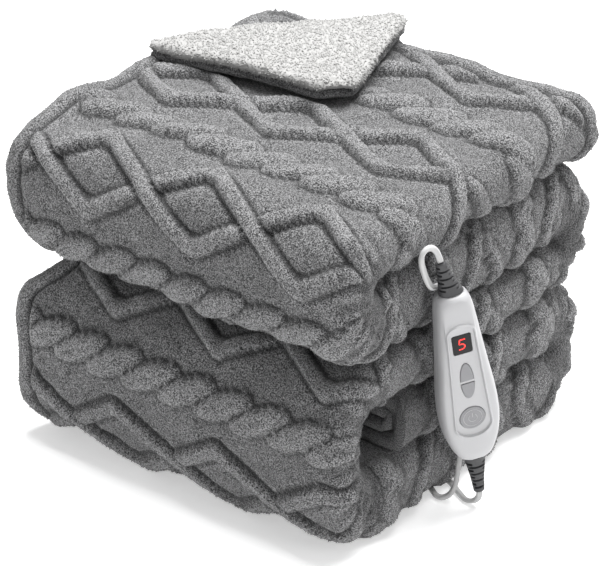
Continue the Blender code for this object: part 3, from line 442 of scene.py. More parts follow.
sleeves = {
    # share of the length, half width, half depth
    "upper": ((0.0, 9.2, 6.8), (0.10, 8.4, 6.2), (0.55, 5.6, 4.6), (1.0, 3.9, 3.6)),
    "lower": ((0.0, 8.6, 6.8), (0.12, 7.8, 6.0), (0.6, 5.2, 4.4), (1.0, 4.0, 3.6)),
    "gap": 0.3,  # from the shell
    "ringStep": 0.55,
    "ringPoints": 64,
    "slotted": (0.14, 0.93),  # share of the length
    "slotDepth": 1.7,
    "slotPitch": 3.4,
    "slotShare": 0.42,  # of the pitch
    "slotEdge": -0.55,  # a slot runs round as far as this cosine of twice the angle
    "lip": (0.985, 0.5),  # where the tip narrows, and by how much
}


def makeSleeve(name, base, tip, axis, sizes):
    # tapered oval sleeve with short staggered slots, so that it bends
    across = (controlAcross - axis * controlAcross.dot(axis)).normalized()
    out = axis.cross(across)
    foot = base + axis * sleeves["gap"]
    length = (tip - foot).length
    count = int(length / sleeves["ringStep"])
    angles = circleAngles(sleeves["ringPoints"])
    acrossPart, outPart = squaredCircle(angles)
    slotStart, slotEnd = sleeves["slotted"]
    lipStart, lipDepth = sleeves["lip"]
    rings = []
    for index in range(count + 1):
        share = index / count
        halfWidth, halfDepth = sizeAt(sizes, share)
        row, place = divmod((share - slotStart) * length, sleeves["slotPitch"])
        depth = np.zeros(len(angles))
        if place < sleeves["slotPitch"] * sleeves["slotShare"] and slotStart < share < slotEnd:
            opened = np.cos(2 * angles + (pi if row % 2 else 0.0)) > sleeves["slotEdge"]
            depth = np.where(opened, sleeves["slotDepth"], 0.0)
        if share > lipStart:
            depth = depth + lipDepth
        shrink = 1 - depth / halfWidth
        centre = foot.lerp(tip, share)
        rings.append([centre + across * (halfWidth * a * s) + out * (halfDepth * o * s)
                      for a, o, s in zip(acrossPart, outPart, shrink)])
    return makeLoft(name, rings, looks["relief"], sharp=38)


upperSleeve = makeSleeve("upperSleeve", controlHead, Vector(controller["upperTip"]), controlUp,
                         sleeves["upper"])
lowerSleeve = makeSleeve("lowerSleeve", controlFoot, Vector(controller["lowerTip"]), -controlUp,
                         sleeves["lower"])


plug = {
    "edges": (-226, -192), "middle": (80, 7.8),
    # share of the length, half width, half height
    "sizes": ((0.0, 3.2, 3.2), (0.02, 4.0, 4.0), (0.25, 5.2, 5.0), (0.34, 6.6, 5.6), (0.45, 9.2, 6.6),
              (0.55, 10.6, 7.2), (0.62, 11.0, 7.5), (0.90, 11.0, 7.5), (0.96, 10.7, 7.2), (1.0, 9.8, 6.4)),
    "grip": (0.05, 0.30, 20, 0.05, 0.7),  # its ends, grooves in a whole length, their origin and depth
    "rounding": (0, 1),  # inset at the ends, and the share of the length that it takes
    "power": 2.6, "rings": 70,
}
gland = {
    "edges": (-176.4, -160.4), "middle": (-58, 5.0), "sizes": ((0, 9.0, 4.7), (1, 9.0, 4.7)),
    "grip": (0.1, 0.6, 4, 0, 0.45), "rounding": (1.4, 0.08), "power": 4.0, "rings": 50,
}


def makeBar(name, bar, material, count=48):
    # moulded bar along x, with grip grooves
    (low, high), (y, z), (inmost, reach) = bar["edges"], bar["middle"], bar["rounding"]
    gripStart, gripEnd, grooves, origin, deepest = bar["grip"]
    across, up = squaredCircle(circleAngles(count), bar["power"])
    rings = []
    for share in np.linspace(0, 1, bar["rings"]):
        inset = inmost * (1 - min(1.0, min(share, 1 - share) / reach) ** 0.5)
        if gripStart < share < gripEnd:
            inset += deepest * max(0.0, sin(2 * pi * grooves * (share - origin)))
        halfWidth, halfHeight = (size - inset for size in sizeAt(bar["sizes"], share))
        x = np.full(count, low + (high - low) * share)
        rings.append(np.column_stack([x, y + halfWidth * across, z + halfHeight * up]))
    return makeLoft(name, rings, material, sharp=40)


mainsPlug = makeBar("mainsPlug", plug, looks["shell"])
hemInlet = makeBar("hemInlet", gland, looks["relief"])
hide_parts("blanket_lead")
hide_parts("mains_lead", "mains_coil", "plug_lead")
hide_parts("strain_relief_upper")
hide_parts("strain_relief_lower")
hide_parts("mains_plug")
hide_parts("lead_gland")
blades = [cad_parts["plug_blade_left"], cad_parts["plug_blade_right"]]
for blade in blades:
    blade.data.materials.clear()
    blade.data.materials.append(looks["blade"])
print("sleeves, inlet and plug made")

stack = {  # the folded cloth, as its solid has it
    "hemX": -160, "frontY": -155, "backY": 155, "stripEndY": 152, "tuckedEndY": -78,
    "noseDepth": 22, "foldX": -139, "foldDepth": 17, "innerFoldDepth": 8, "tuckedHemX": -140,
    "hemRadius": 7,
    "hemLevel": (0.765, 0.235),  # middle and half height of the hem, in half thicknesses
    "plyGap": 0.03,  # half the gap between plies, in half thicknesses
    "bendSteps": 96,
    # underside, upper side, tip of the nose
    "layers": {"top": (217.2, 262.0, 157.5), "second": (154.8, 216.0, 155.0), "third": (112.6, 153.6, 154.5),
               "tucked": (61.8, 111.4, 153.5), "bottom": (0.0, 60.6, 150.5)},
    # from, to, side, outer reach, inner reach, slack
    "bends": (("top", "second", "front", 46, 4, 0), ("second", "third", "back", 40, 4, 28),
              ("third", "bottom", "front", 56, 22, 0), ("bottom", "tucked", "back", 40, 4, 20)),
    "facesDown": ("second", "bottom"),
    "firstRows": (0.0, 0.8, 2.0),
    "fineStep": 2.7,  # between rows where the cloth shows
    "coarseStep": 5.4,
    "columnStep": 2.45,
    "columnEnds": (-126.75, 118.25),
    "topEnd": 200,  # distance along the cloth at which the top layer is over
    # where the edge draws in at the front: heights of its start and end, by how much, between which heights
    "drawIn": ((194, 158, 14, 154.3, 270), (118, 154, 28, 90, 154.3), (34, 0, 14, 0, 60)),
    "drawInFront": (60, 125),
    "drawInWidth": 130,
    "hiddenSlack": {"second": 51},  # cloth taken up where a layer lies out of sight
    # size, wavelength and seed of the uneven rise and fall of the cloth
    "swell": ((1.7, 75, 3), (0.4, 19, 4)),
    "pleat": 1.2,
    "pleatLength": 23,
    "pleatWander": (0.8, 60, 5),
    "bendSeen": 110,  # how far in from the noses the inside of a bend shows
}
knit = {
    "pitch": 98, "half": 28, "phase": 18.6,
    "drift": 0.133,  # sideways, for each mm along the cloth
    "driftFrom": 300,
    "bandPitch": 134, "firstCable": 99,
    "turnCut": 0.93,  # share of a zigzag at which its corner is cut off
    "ridgeHalf": 7.2, "ridgeHeight": 6.0, "ridgeFlat": 0.66, "ridgeDome": 0.14, "ditch": (1.1, 1.6),
    "cablePitch": 34.5, "cableHeight": 6.8, "lobeHalfLength": 30, "lobeHalfWidth": 9.8, "lobeTurn": 24,
    "lobePower": 2.6, "lobeDome": 0.38, "valley": (0.45, 0.16),
    "hemWidth": 14, "hemHeight": 3.0, "hemMiddle": 6.5, "hemHalf": 7.5, "seamDepth": 2.2, "seamHalf": 1.9,
}


def straightRows(name, startY, endY):
    low, high, nose = stack["layers"][name]
    patterned, plain = (low, high) if name in stack["facesDown"] else (high, low)
    shows = 1.0 if name == "top" else 0.0
    slack = stack["hiddenSlack"].get(name, 0)
    return [(y, patterned, y, plain, nose, shows, 0.0, 0.0, spare)
            for y, spare in ((startY, 0.0), (endY, slack))]


def bendRows(first, last, side, reach, innerReach, slack):
    sign = -1.0 if side == "front" else 1.0
    layers = stack["layers"]
    lowLayer, highLayer = sorted((first, last), key=lambda name: layers[name][0])
    outerSide = (reach, layers[lowLayer][0], layers[highLayer][1])
    innerSide = (innerReach, layers[lowLayer][1], layers[highLayer][0])
    centreY = (stack["frontY"] if side == "front" else stack["backY"]) - sign * reach
    direction = 1.0 if first == highLayer else -1.0
    patternedOutside = (first in stack["facesDown"]) == (first == lowLayer)
    rows = []
    for index in range(1, stack["bendSteps"]):
        share = index / stack["bendSteps"]
        angle = radians(90) * direction * (1 - 2 * share)
        across, up = (float(value) for value in squaredCircle(angle))
        outer, inner = ((centreY + sign * deep * across, (low + high) / 2 + (high - low) / 2 * up)
                        for deep, low, high in (outerSide, innerSide))
        shows = 1.0 if highLayer == "top" and up > 0 else float(smoothStep(0.1, 0.6, across))
        nose = layers[first][2] * (1 - share) + layers[last][2] * share
        pair = (*outer, *inner) if patternedOutside else (*inner, *outer)
        visible = (shows, 0.0) if patternedOutside else (0.0, shows)
        turn = float(smoothStep(0.0, 0.3, across)) * (1.0 if patternedOutside else -1.0)
        rows.append((*pair, nose, *visible, turn, slack / (stack["bendSteps"] - 1)))
    return rows


def clothStations():
    # patterned y and z, plain y and z, nose, what shows of each side, turn, distance along
    order = ["top"] + [bend[1] for bend in stack["bends"]]
    starts, ends = {"top": stack["stripEndY"]}, {"tucked": stack["tuckedEndY"]}
    for first, last, side, reach, _, _ in stack["bends"]:
        edge = stack["frontY"] + reach if side == "front" else stack["backY"] - reach
        ends[first], starts[last] = edge, edge
    rows = []
    for index, name in enumerate(order):
        rows += straightRows(name, starts[name], ends[name])
        if index < len(stack["bends"]):
            rows += bendRows(*stack["bends"][index])
    rows = np.array(rows)
    steps = np.diff(rows[:, :4], axis=0)
    advance = np.maximum(np.hypot(steps[:, 0], steps[:, 1]), np.hypot(steps[:, 2], steps[:, 3]))
    travelled = np.concatenate(([0.0], np.cumsum(advance + rows[1:, 8])))
    showing = rows[:, 5:7].max(axis=1)
    along = list(stack["firstRows"])
    while along[-1] < travelled[-1] - stack["coarseStep"]:
        step = stack["fineStep"] if np.interp(along[-1], travelled, showing) > 0 else stack["coarseStep"]
        along.append(along[-1] + step)
    along = np.array(along + [travelled[-1]])
    return np.column_stack([resample(rows[:, :8], travelled, along), along])


def foldArc(centreX, level, depth, half, first, last, count):
    across, up = squaredCircle(np.radians(np.linspace(first, last, count + 1)))
    return [(centreX + depth * a, level + half * u) for a, u in zip(across, up)]


def flatRun(places, level):
    return [(x, level) for x in places]


def hemArc(angles):
    radius, (middle, half) = stack["hemRadius"], stack["hemLevel"]
    return [(stack["hemX"] + radius + radius * cos(a), middle + half * sin(a))
            for a in np.radians(angles)]


def clothSection(nose):
    # the outer part, the inner ply that the turned corner uncovers, then what stays hidden
    depth, gap, foldX = stack["noseDepth"], stack["plyGap"], stack["foldX"]
    start, hemEnd = nose - depth, stack["hemX"] + stack["hemRadius"]
    low, high = stack["columnEnds"]
    columns = np.arange(low, high + 0.1, stack["columnStep"])
    flat = np.concatenate([columns, np.linspace(high + stack["columnStep"], start - 2, 6)])
    middle = (0.5 - gap - 1.0) / 2
    outer = hemArc(np.linspace(180, 90, 8)) + flatRun(np.arange(hemEnd + 2.2, low - 1, 2.3), 1.0)
    outer += flatRun(flat, 1.0) + foldArc(start, 0.0, depth, 1.0, 90, -90, 28)
    outer += flatRun(flat[::-1], -1.0) + flatRun((low - 4, low - 8), -1.0)
    outer += foldArc(foldX, middle, stack["foldDepth"], 0.5 - gap - middle, 270, 90, 18)
    bared = flatRun((low - 8, low - 4), 0.5 - gap) + flatRun(flat, 0.5 - gap)
    tuckedX = stack["tuckedHemX"]
    inner = foldArc(start, 0.0, depth * (0.5 - gap), 0.5 - gap, 90, -90, 3)
    inner += [(tuckedX + 2, gap - 0.5), (tuckedX, gap - 0.44), (tuckedX, -gap - 0.06), (tuckedX + 2, -gap)]
    inner += [(start, -gap), (start + 1.2, 0.0), (start, gap)]
    inner += foldArc(foldX, -0.25, stack["innerFoldDepth"], 0.25 + gap, 90, 270, 3)
    inner += foldArc(start, 0.0, depth * (0.5 + gap), 0.5 + gap, -90, 90, 3)
    inner += flatRun(columns[::-5], 0.5 + gap) + flatRun((hemEnd + 12,), 0.5 + gap)
    return outer, bared, inner + hemArc((268, 235, 205))


def zigzag(across, period):
    return 1 - 4 * np.abs(np.mod(across / period, 1.0) - 0.5)


def latticeHeight(across, along):
    # two zigzag ridges; the one that runs forwards as it goes to the noses passes over the other
    period = 2 * knit["pitch"]
    slope = 4 * knit["half"] / period
    cut = knit["turnCut"]
    across = across - knit["phase"]
    distances, rising = [], []
    for offset in (0, knit["pitch"]):
        turns = np.clip(zigzag(across + offset, period), -cut, cut) / cut
        distances.append(np.abs(along - turns * knit["half"]) / hypot(1, slope))
        rising.append(np.mod((across + offset) / period, 1.0) < 0.5)
    half, dome = knit["ridgeHalf"], knit["ridgeDome"]
    height = np.zeros_like(across)
    for index in (0, 1):
        mine, other = distances[index], distances[1 - index]
        ridge = 1 - smoothStep(knit["ridgeFlat"] * half, half, mine)
        ridge = ridge * (1 - dome + dome * np.clip(1 - (mine / half) ** 2, 0, 1))
        under = smoothStep(half - 0.5, half + 3.0, other)
        height = np.maximum(height, np.where(rising[index], ridge, ridge * under))
    ditchDepth, ditchHalf = knit["ditch"]
    ditch = np.exp(-((np.minimum(*distances) - half - 1.0) / ditchHalf) ** 2)
    return height * knit["ridgeHeight"] - ditchDepth * ditch


def cableHeight(across, along):
    # slanted lobes that overlap like a twisted rope
    turn = radians(knit["lobeTurn"])
    power, (valleyDepth, valleyHalf) = knit["lobePower"], knit["valley"]
    nearest = np.round(across / knit["cablePitch"])
    lobes = []
    for step in (-1, 0, 1):
        offset = across - (nearest + step) * knit["cablePitch"]
        lengthwise = (offset * cos(turn) - along * sin(turn)) / knit["lobeHalfLength"]
        sideways = (offset * sin(turn) + along * cos(turn)) / knit["lobeHalfWidth"]
        dome = np.clip(1 - np.abs(lengthwise) ** power - np.abs(sideways) ** power, 0, 1)
        lobes.append(dome ** knit["lobeDome"])
    lobes = np.sort(lobes, axis=0)
    valley = np.exp(-((lobes[2] - lobes[1]) / valleyHalf) ** 2) * (lobes[1] > 0.02)
    return (lobes[2] - valleyDepth * valley * lobes[2]) * knit["cableHeight"]


def patternHeight(across, along):
    # bands of cable, with the lattice centred between them
    across = across - knit["drift"] * (along - knit["driftFrom"])
    halfPitch = knit["bandPitch"] / 2
    band = np.mod(along - knit["firstCable"] + halfPitch, knit["bandPitch"]) - halfPitch
    between = np.mod(along - knit["firstCable"], knit["bandPitch"]) - halfPitch
    cable = cableHeight(across, band)
    lattice = latticeHeight(across, between)
    return np.where(cable > 0.05, np.maximum(cable, lattice), lattice)


def hemShape(distance):
    # round roll along the edge, then the stitched seam; also how much of the pattern is left
    width = knit["hemWidth"]
    dome = np.clip(1 - ((distance - knit["hemMiddle"]) / knit["hemHalf"]) ** 2, 0, 1) ** 0.6
    seam = -knit["seamDepth"] * np.exp(-((distance - width) / knit["seamHalf"]) ** 2)
    return knit["hemHeight"] * dome + seam, smoothStep(width, width + 6, distance)


def lineFrame(first, last):
    # a line's start, its direction and the direction to its left
    start = np.array(first, float)
    direction = unit(np.array(last, float) - start)
    return start, direction, np.array((-direction[1], direction[0]))


def beyondLine(points, first, last):
    start, _, left = lineFrame(first, last)
    return (points[..., :2] - start) @ left


flap = {
    "start": (-152, 8), "end": (-24, 150), "tip": (23, 16), "tipRadius": 17,
    "roll": 9.6, "rollStart": 6.4, "rollGrows": 0.4, "rollDrawIn": 3,
    "thinTip": (0.93, 0.02),  # share of the way back where it thins, and the square of what is left
    "cornerLift": 13,
    "liftFrom": (14, 60),  # distance beyond the fold line
    "backEase": 22,  # near the back the lift is less
    "edgeFade": (-6, 6),  # how the cloth under the corner stops counting as seen
    "baredFade": (4, 26),  # and how the ply that it bares starts to
}
foldStart, foldDirection, foldLeft = lineFrame(flap["start"], flap["end"])
foldLength = float(np.linalg.norm(np.array(flap["end"], float) - foldStart))
foldToTip = np.array(flap["tip"], float) - foldStart
tipAlong, tipBack = float(foldToTip @ foldDirection), -float(foldToTip @ foldLeft)
tipHalfAngle = atan(foldLength / 2 / tipBack)
tipCentre = tipBack - flap["tipRadius"] / sin(tipHalfAngle)


def gridNormals(points):
    roundSection = np.roll(points, -1, axis=1) - np.roll(points, 1, axis=1)
    return unit(np.cross(np.gradient(points, axis=0), roundSection))


def outwardNormals(rings):
    normals = gridNormals(rings)
    return normals * np.sign((normals * (rings - rings.mean(axis=1, keepdims=True))).sum(axis=2).mean())


def blur(values):
    values = (np.roll(values, 1, 1) + 2 * values + np.roll(values, -1, 1)) / 4
    padded = np.vstack([values[:1], values, values[-1:]])
    return (padded[:-2] + 2 * padded[1:-1] + padded[2:]) / 4


def drawnIn(points, x):
    # how far each point moves in from the hem, at the front
    tall = points[:, :, 2]
    amount = np.zeros_like(x)
    for begins, ends, most, lowest, highest in stack["drawIn"]:
        near = smoothStep(0, 1, (tall - begins) / (ends - begins)) * (tall >= lowest) * (tall <= highest)
        amount = np.maximum(amount, most * near)
    front = smoothStep(*stack["drawInFront"], -points[:, :, 1])
    return amount * (front * (1 - smoothStep(0, stack["drawInWidth"], x - stack["hemX"])))


def cornerLift(points, level, beyond):
    onPly = smoothStep(0.1, 0.45, level)
    nearBack = 1 - 0.5 * smoothStep(stack["backY"] - flap["backEase"], stack["backY"], points[:, :, 1])
    firstPly = points[:, :, 2] > stack["layers"]["top"][0] + 20
    return flap["cornerLift"] * smoothStep(*flap["liftFrom"], beyond) * onPly * firstPly * nearBack


# painted shade and painted light in the pile's colour: darker in the relief's hollows, inside the bends and at the
# cloth's end, lighter on the ridges
napShade = {
    "level": 0.66, "hollow": 1.15, "range": (-0.12, 0.5), "ridge": 0.03, "darkest": 0.06,
    "bend": 0.5,  # how much painted shade darkens the pile inside a bend
    "lastRows": 30,  # so much of the cloth's end gets the same painted shade
}


def clothGrid():
    stations = clothStations()
    patterned, plain = stations[:, None, 0:2], stations[:, None, 2:4]
    nose, showPatterned, showPlain, turn, along = (stations[:, index, None] for index in range(4, 9))
    outer, bared, _ = clothSection(nose[0, 0])
    outerCount, baredEnd = len(outer), len(outer) + len(bared)
    sections = {value: np.array(sum(clothSection(value), [])) for value in set(nose[:, 0])}
    section = np.array([sections[value] for value in nose[:, 0]])
    x, level = section[:, :, 0], section[:, :, 1]
    share = ((level + 1) / 2)[:, :, None]
    points = np.dstack([x, plain * (1 - share) + patterned * share])
    points[:, :, 0] += drawnIn(points, x)

    # the pattern's own places, measured over the cloth from its middle column
    steps = np.linalg.norm(np.diff(points[:, :outerCount], axis=1), axis=2)
    across = np.array(x)
    across[:, 0] = 0
    across[:, 1:outerCount] = np.cumsum(steps, axis=1)
    fromMiddle = np.abs(section[0, :outerCount, 0] - knit["phase"])
    middle = int(np.argmin(fromMiddle - 0.01 * section[0, :outerCount, 1]))
    across[:, :outerCount] += knit["phase"] - across[:, middle, None]
    along = np.broadcast_to(along, x.shape)

    # what shows: nose side, hem side, the top up to the turned corner, and the ply that the corner bares
    isOuter = np.arange(x.shape[1])[None, :] < outerCount
    isBared = (np.arange(x.shape[1])[None, :] < baredEnd) & ~isOuter
    overNose = x - (nose - stack["noseDepth"])
    facingNose = smoothStep(0.25 * stack["noseDepth"], 0.75 * stack["noseDepth"], overNose) * isOuter
    onNose = facingNose * (1 - np.abs(turn) * (0.5 - 0.5 * turn * level))
    facingHem = smoothStep(0, 0.6 * stack["foldDepth"], stack["foldX"] - x)
    shows = np.maximum(np.where(level > 0, showPatterned, showPlain), onNose)
    onFold = (x < stack["foldX"] + 1) & (level < 0.5)
    shows = np.where(onFold, showPlain * (1 - facingHem), shows)
    inside = np.minimum(beyondLine(points, flap["start"], flap["tip"]),
                        beyondLine(points, flap["tip"], flap["end"]))
    onTop = points[:, :, 2] > stack["layers"]["top"][1] - 2
    shows = shows * (1 - smoothStep(*flap["edgeFade"], inside) * onTop) * isOuter
    beyond = beyondLine(points, flap["start"], flap["end"])
    onTopLayer = along < stack["topEnd"]
    shows = np.where(isBared, smoothStep(*flap["baredFade"], beyond) * onTopLayer, shows)

    # relief: the pattern, which fades at the hems, their rolls, and pleats where a bend meets the noses
    height = patternHeight(across, along)
    fade, edgeRoll = np.ones_like(x), np.zeros_like(x)
    hemSide = (level > 0.5) & isOuter
    for distance, mask in ((x - stack["hemX"], hemSide), (along, level > 0)):
        roll, left = hemShape(distance)
        fade = np.where(mask, fade * left, fade)
        onRoll = mask & (distance < knit["hemWidth"] + 8)
        edgeRoll = np.where(onRoll, edgeRoll + roll * (np.abs(edgeRoll) < 0.1), edgeRoll)
    hemShows = np.maximum(shows, ((x < stack["hemX"] + knit["hemWidth"] + 2) & hemSide) * 1.0)
    pleats = np.sin(2 * pi * along / stack["pleatLength"] + waves(points, *stack["pleatWander"]))
    pleats = stack["pleat"] * pleats * np.abs(turn) * facingNose
    rowGap = np.linalg.norm(np.gradient(points, axis=0), axis=2)
    roomy = smoothStep(0.3, 0.8, rowGap / stack["fineStep"])  # less relief where the rows crowd together
    relief = (height * fade * shows * (1 - 0.3 * facingNose) + pleats) * roomy + edgeRoll * hemShows

    seen = np.maximum.reduce([shows, facingNose, facingHem * isOuter, hemShows])
    insideBend = (np.abs(turn) > 0) * (level < 0.5) * (x > nose - stack["bendSeen"])
    seen = np.maximum(seen, insideBend * 1.0)
    broad, small = (waves(points, *swell) for swell in stack["swell"])
    onGround = smoothStep(0, 6, points[:, :, 2])
    push = relief + (broad + small) * np.clip(seen, 0, 1) * onGround
    lift = cornerLift(points, level, beyond)
    points = points + gridNormals(points) * push[:, :, None]
    points[:, :, 2] = np.maximum(points[:, :, 2] + lift, 0.0)

    # the top ply ends at the fold line, where the turned corner begins
    cutAway = (level > 0.5) & onTopLayer & (beyond > 0)
    excess = np.where(cutAway, beyondLine(points, flap["start"], flap["end"]), 0)
    points[:, :, :2] -= np.clip(excess, 0, None)[:, :, None] * foldLeft
    seen = np.where(cutAway, 0, seen)

    # painted shade: the pile's colour is darkened in the hollows of the relief and of the bends, and at the
    # cloth's end; painted light makes it a little lighter on the ridges
    hollow = np.clip(blur(relief) - relief, *napShade["range"])
    pileToneAndShade = napShade["level"] - napShade["hollow"] * hollow + napShade["ridge"] * relief
    pileToneAndShade = np.clip(pileToneAndShade, napShade["darkest"], 1)
    insideHollow = smoothStep(0.0, 0.6, np.abs(turn)) * (level * np.sign(turn) < 0.25)
    pileToneAndShade *= 1 - napShade["bend"] * np.maximum(insideHollow, along > along.max() - napShade["lastRows"])
    return points, seen, pileToneAndShade


# stores the pile's tone with its painted shade and painted light, at each point
def setPileToneAndShade(piece, values):
    attribute = piece.data.attributes.new("pileToneAndShade", "FLOAT", "POINT")
    attribute.data.foreach_set("value", np.asarray(values, np.float32).ravel())


def makeCloth(points, seen, pileToneAndShade):
    # the grid as one mesh, with far fewer faces where it stays hidden
    piece = makePiece("cableKnitBlanket", points.reshape(-1, 3), ringFaces(*seen.shape), looks["plush"])
    setPileToneAndShade(piece, pileToneAndShade)
    hidden = (seen < 0.02).ravel()
    bm = bmesh.new()
    bm.from_mesh(piece.data)
    bm.verts.ensure_lookup_table()
    hiddenVerts = [bm.verts[index] for index in np.flatnonzero(hidden)]
    hiddenEdges = [edge for edge in bm.edges if hidden[edge.verts[0].index] and hidden[edge.verts[1].index]]
    bmesh.ops.dissolve_limit(bm, angle_limit=radians(6), verts=hiddenVerts, edges=hiddenEdges)
    bmesh.ops.dissolve_degenerate(bm, dist=0.00002, edges=bm.edges)
    bmesh.ops.recalc_face_normals(bm, faces=bm.faces)
    bm.to_mesh(piece.data)
    bm.free()
    piece.data.shade_smooth()
    return piece


clothPoints, clothSeen, clothToneAndShade = clothGrid()
blanket = makeCloth(clothPoints, clothSeen, clothToneAndShade)
triangles = sum(len(face.vertices) - 2 for face in blanket.data.polygons)
print("blanket made:", clothSeen.shape, triangles, "triangles")


def flapEdges(back):
    # where the turned corner begins and ends along the fold, at a distance back from it
    share = back / tipBack
    low, high = tipAlong * share, foldLength + (tipAlong - foldLength) * share
    if back > tipCentre + flap["tipRadius"] * sin(tipHalfAngle):
        half = sqrt(max(0.0, flap["tipRadius"] ** 2 - (back - tipCentre) ** 2))
        middle = (low + high) / 2
        low, high = middle - half, middle + half
    return low, high


def flapPoints(t, angle, back, offset):
    # places on the turned ply; t runs along the fold, offset is up from the ply's middle
    grow = smoothStep(0.0, flap["rollGrows"], t / foldLength)
    roll = flap["rollStart"] + (flap["roll"] - flap["rollStart"]) * grow
    radius = roll - offset
    low, high, _ = stack["layers"]["top"]
    middle, half = (low + high) / 2, (high - low) / 2
    plyMiddle = (middle + half * (0.5 + stack["plyGap"]) + high) / 2
    beyond = radius * sin(angle) - back
    height = plyMiddle + roll - radius * cos(angle)
    return np.column_stack([foldStart + foldDirection * t[:, None] + foldLeft * beyond[:, None], height])


def flapSheet(sheet):
    # closed rings round one sheet of the turned ply, with rounded edges
    (lowOffset, highOffset), (rollSteps, backSteps), columns = sheet["offsets"], sheet["rows"], sheet["columns"]
    reach = tipCentre + flap["tipRadius"]
    rows = [(angle, 0.0) for angle in np.radians(np.linspace(4, 180, rollSteps))]
    rows += [(pi, reach * share) for share in np.sin(np.linspace(0, pi / 2, backSteps))[1:] * 0.995]
    middle, halfThick = (lowOffset + highOffset) / 2, (highOffset - lowOffset) / 2
    turns = np.radians(np.linspace(90, -90, 7))[1:-1]
    upward = np.concatenate([np.ones(columns), np.sin(turns), -np.ones(columns), np.sin(turns[::-1])])
    bulge = (halfThick + sheet["puff"]) * np.cos(turns)
    thinFrom, thinnest = flap["thinTip"]
    rings = []
    for angle, back in rows:
        low, high = flapEdges(back)
        drawIn = flap["rollDrawIn"] * sin(angle)
        low, high = low + drawIn, high - drawIn
        taper = sqrt(max(thinnest, 1 - smoothStep(thinFrom, 1.0, back / reach) ** 2))
        t = np.linspace(low, high, columns)
        t = np.concatenate([t, high + bulge, t[::-1], low - bulge[::-1]])
        rings.append(flapPoints(t, angle, back, middle + halfThick * taper * upward))
    return np.array(rings)


# offsets up from the ply's middle before it turns; swell has a size, a wavelength and a seed
sherpa = {
    "offsets": (-7.4, -0.7), "rows": (24, 62), "columns": 120, "puff": 1.5, "swell": (0.8, 40, 8),
    "curlSize": 3.2, "curlHeight": 1.7, "curlPower": 1.6, "curlDepth": 1.3,
    "uneven": (0.25, 2.3),  # how much, and its scale
    "innerShare": 0.1,  # of the relief, where the lining lies on the plush
    "pileToneAndShade": 0.72,  # painted shade between the curls
}
turned = {"offsets": (0.1, 6.4), "rows": (20, 44), "columns": 90, "puff": 1.0, "swell": (0.5, 14, 9), "pileToneAndShade": 0.62}


def curlHeights(points):
    # rounded little curls: distance to the nearest of scattered centres
    uneven, scale = sherpa["uneven"]
    flat = points.reshape(-1, 3) / sherpa["curlSize"]
    heights = np.empty(len(flat))
    for index, place in enumerate(flat.tolist()):
        nearest = min(noise.voronoi(place)[0][0], 1.0)
        lumps = uneven * noise.noise([value * scale for value in place])
        heights[index] = 1 - nearest ** sherpa["curlPower"] * sherpa["curlDepth"] + lumps
    return np.clip(heights, 0, 1.2).reshape(points.shape[:-1])


def turnedSheet(name, sheet, material, curly):
    rings = flapSheet(sheet)
    outward = outwardNormals(rings)
    relief, amount = waves(rings, *sheet["swell"]), np.ones(rings.shape[:2])
    pileToneAndShade = np.full(rings.shape[:2], sheet["pileToneAndShade"])
    if curly:
        heights = curlHeights(rings)
        amount[:, :sheet["columns"]] = sheet["innerShare"]
        relief = (heights * sheet["curlHeight"] + relief) * amount
        # painted shade: the lining is darker between its curls and lighter on their tops
        pileToneAndShade = np.clip(pileToneAndShade + (1 - pileToneAndShade) * heights, 0, 1)
    rings = rings + outward * relief[:, :, None]
    piece = makeLoft(name, rings, material)
    setPileToneAndShade(piece, pileToneAndShade)
    return piece, rings, outward, amount


lining, liningRings, liningNormals, liningAmount = turnedSheet("sherpaLining", sherpa, looks["sherpa"], True)
turnedCorner, turnedRings, turnedNormals, turnedAmount = turnedSheet("turnedCorner", turned, looks["plush"], False)
print("turned corner made")

pile = {
    "tufts": 112000,  # over the whole cloth, shared between the pieces
    "pieces": 3,
    "size": (1.5, 0.45),  # length and half width
    "lean": 0.6,
    "droop": 0.25,
    "root": 0.5,  # depth of the foot
    "sizes": (0.7, 1.25),  # smallest and largest
    "uneven": (0.55, 1.25),  # darkest and lightest
    # painted shade at each tuft's foot and painted light on its tip
    "footShade": 0.7,
    "tipShade": 1.08,
    "overGround": 1.5,  # none lower than this
    "turnedTufts": 5000, "turnedSize": (1.4, 0.45), "turnedShade": 0.6,
    "sherpaTufts": 9000, "sherpaSize": (2.0, 0.9), "sherpaShade": 0.95, "sherpaUneven": (0.92, 1.1),
}


def scatter(points, weight, pileToneAndShade, normals, count):
    # random places on the grid's quads, by area
    corners = (points[:-1], np.roll(points, -1, 1)[:-1], np.roll(points, -1, 1)[1:], points[1:])
    area = np.linalg.norm(np.cross(corners[2] - corners[0], corners[3] - corners[1]), axis=2) / 2
    chance = (area * np.clip(weight[:-1], 0, 1) * np.clip(weight[1:], 0, 1)).ravel()
    pick = dice.choice(chance.size, size=count, p=chance / chance.sum())
    u, v = dice.random((2, count, 1))
    flat = [corner.reshape(-1, 3)[pick] for corner in corners]
    place = (flat[0] * (1 - u) + flat[1] * u) * (1 - v) + (flat[3] * (1 - u) + flat[2] * u) * v
    return place, normals[:-1].reshape(-1, 3)[pick], pileToneAndShade[:-1].ravel()[pick]


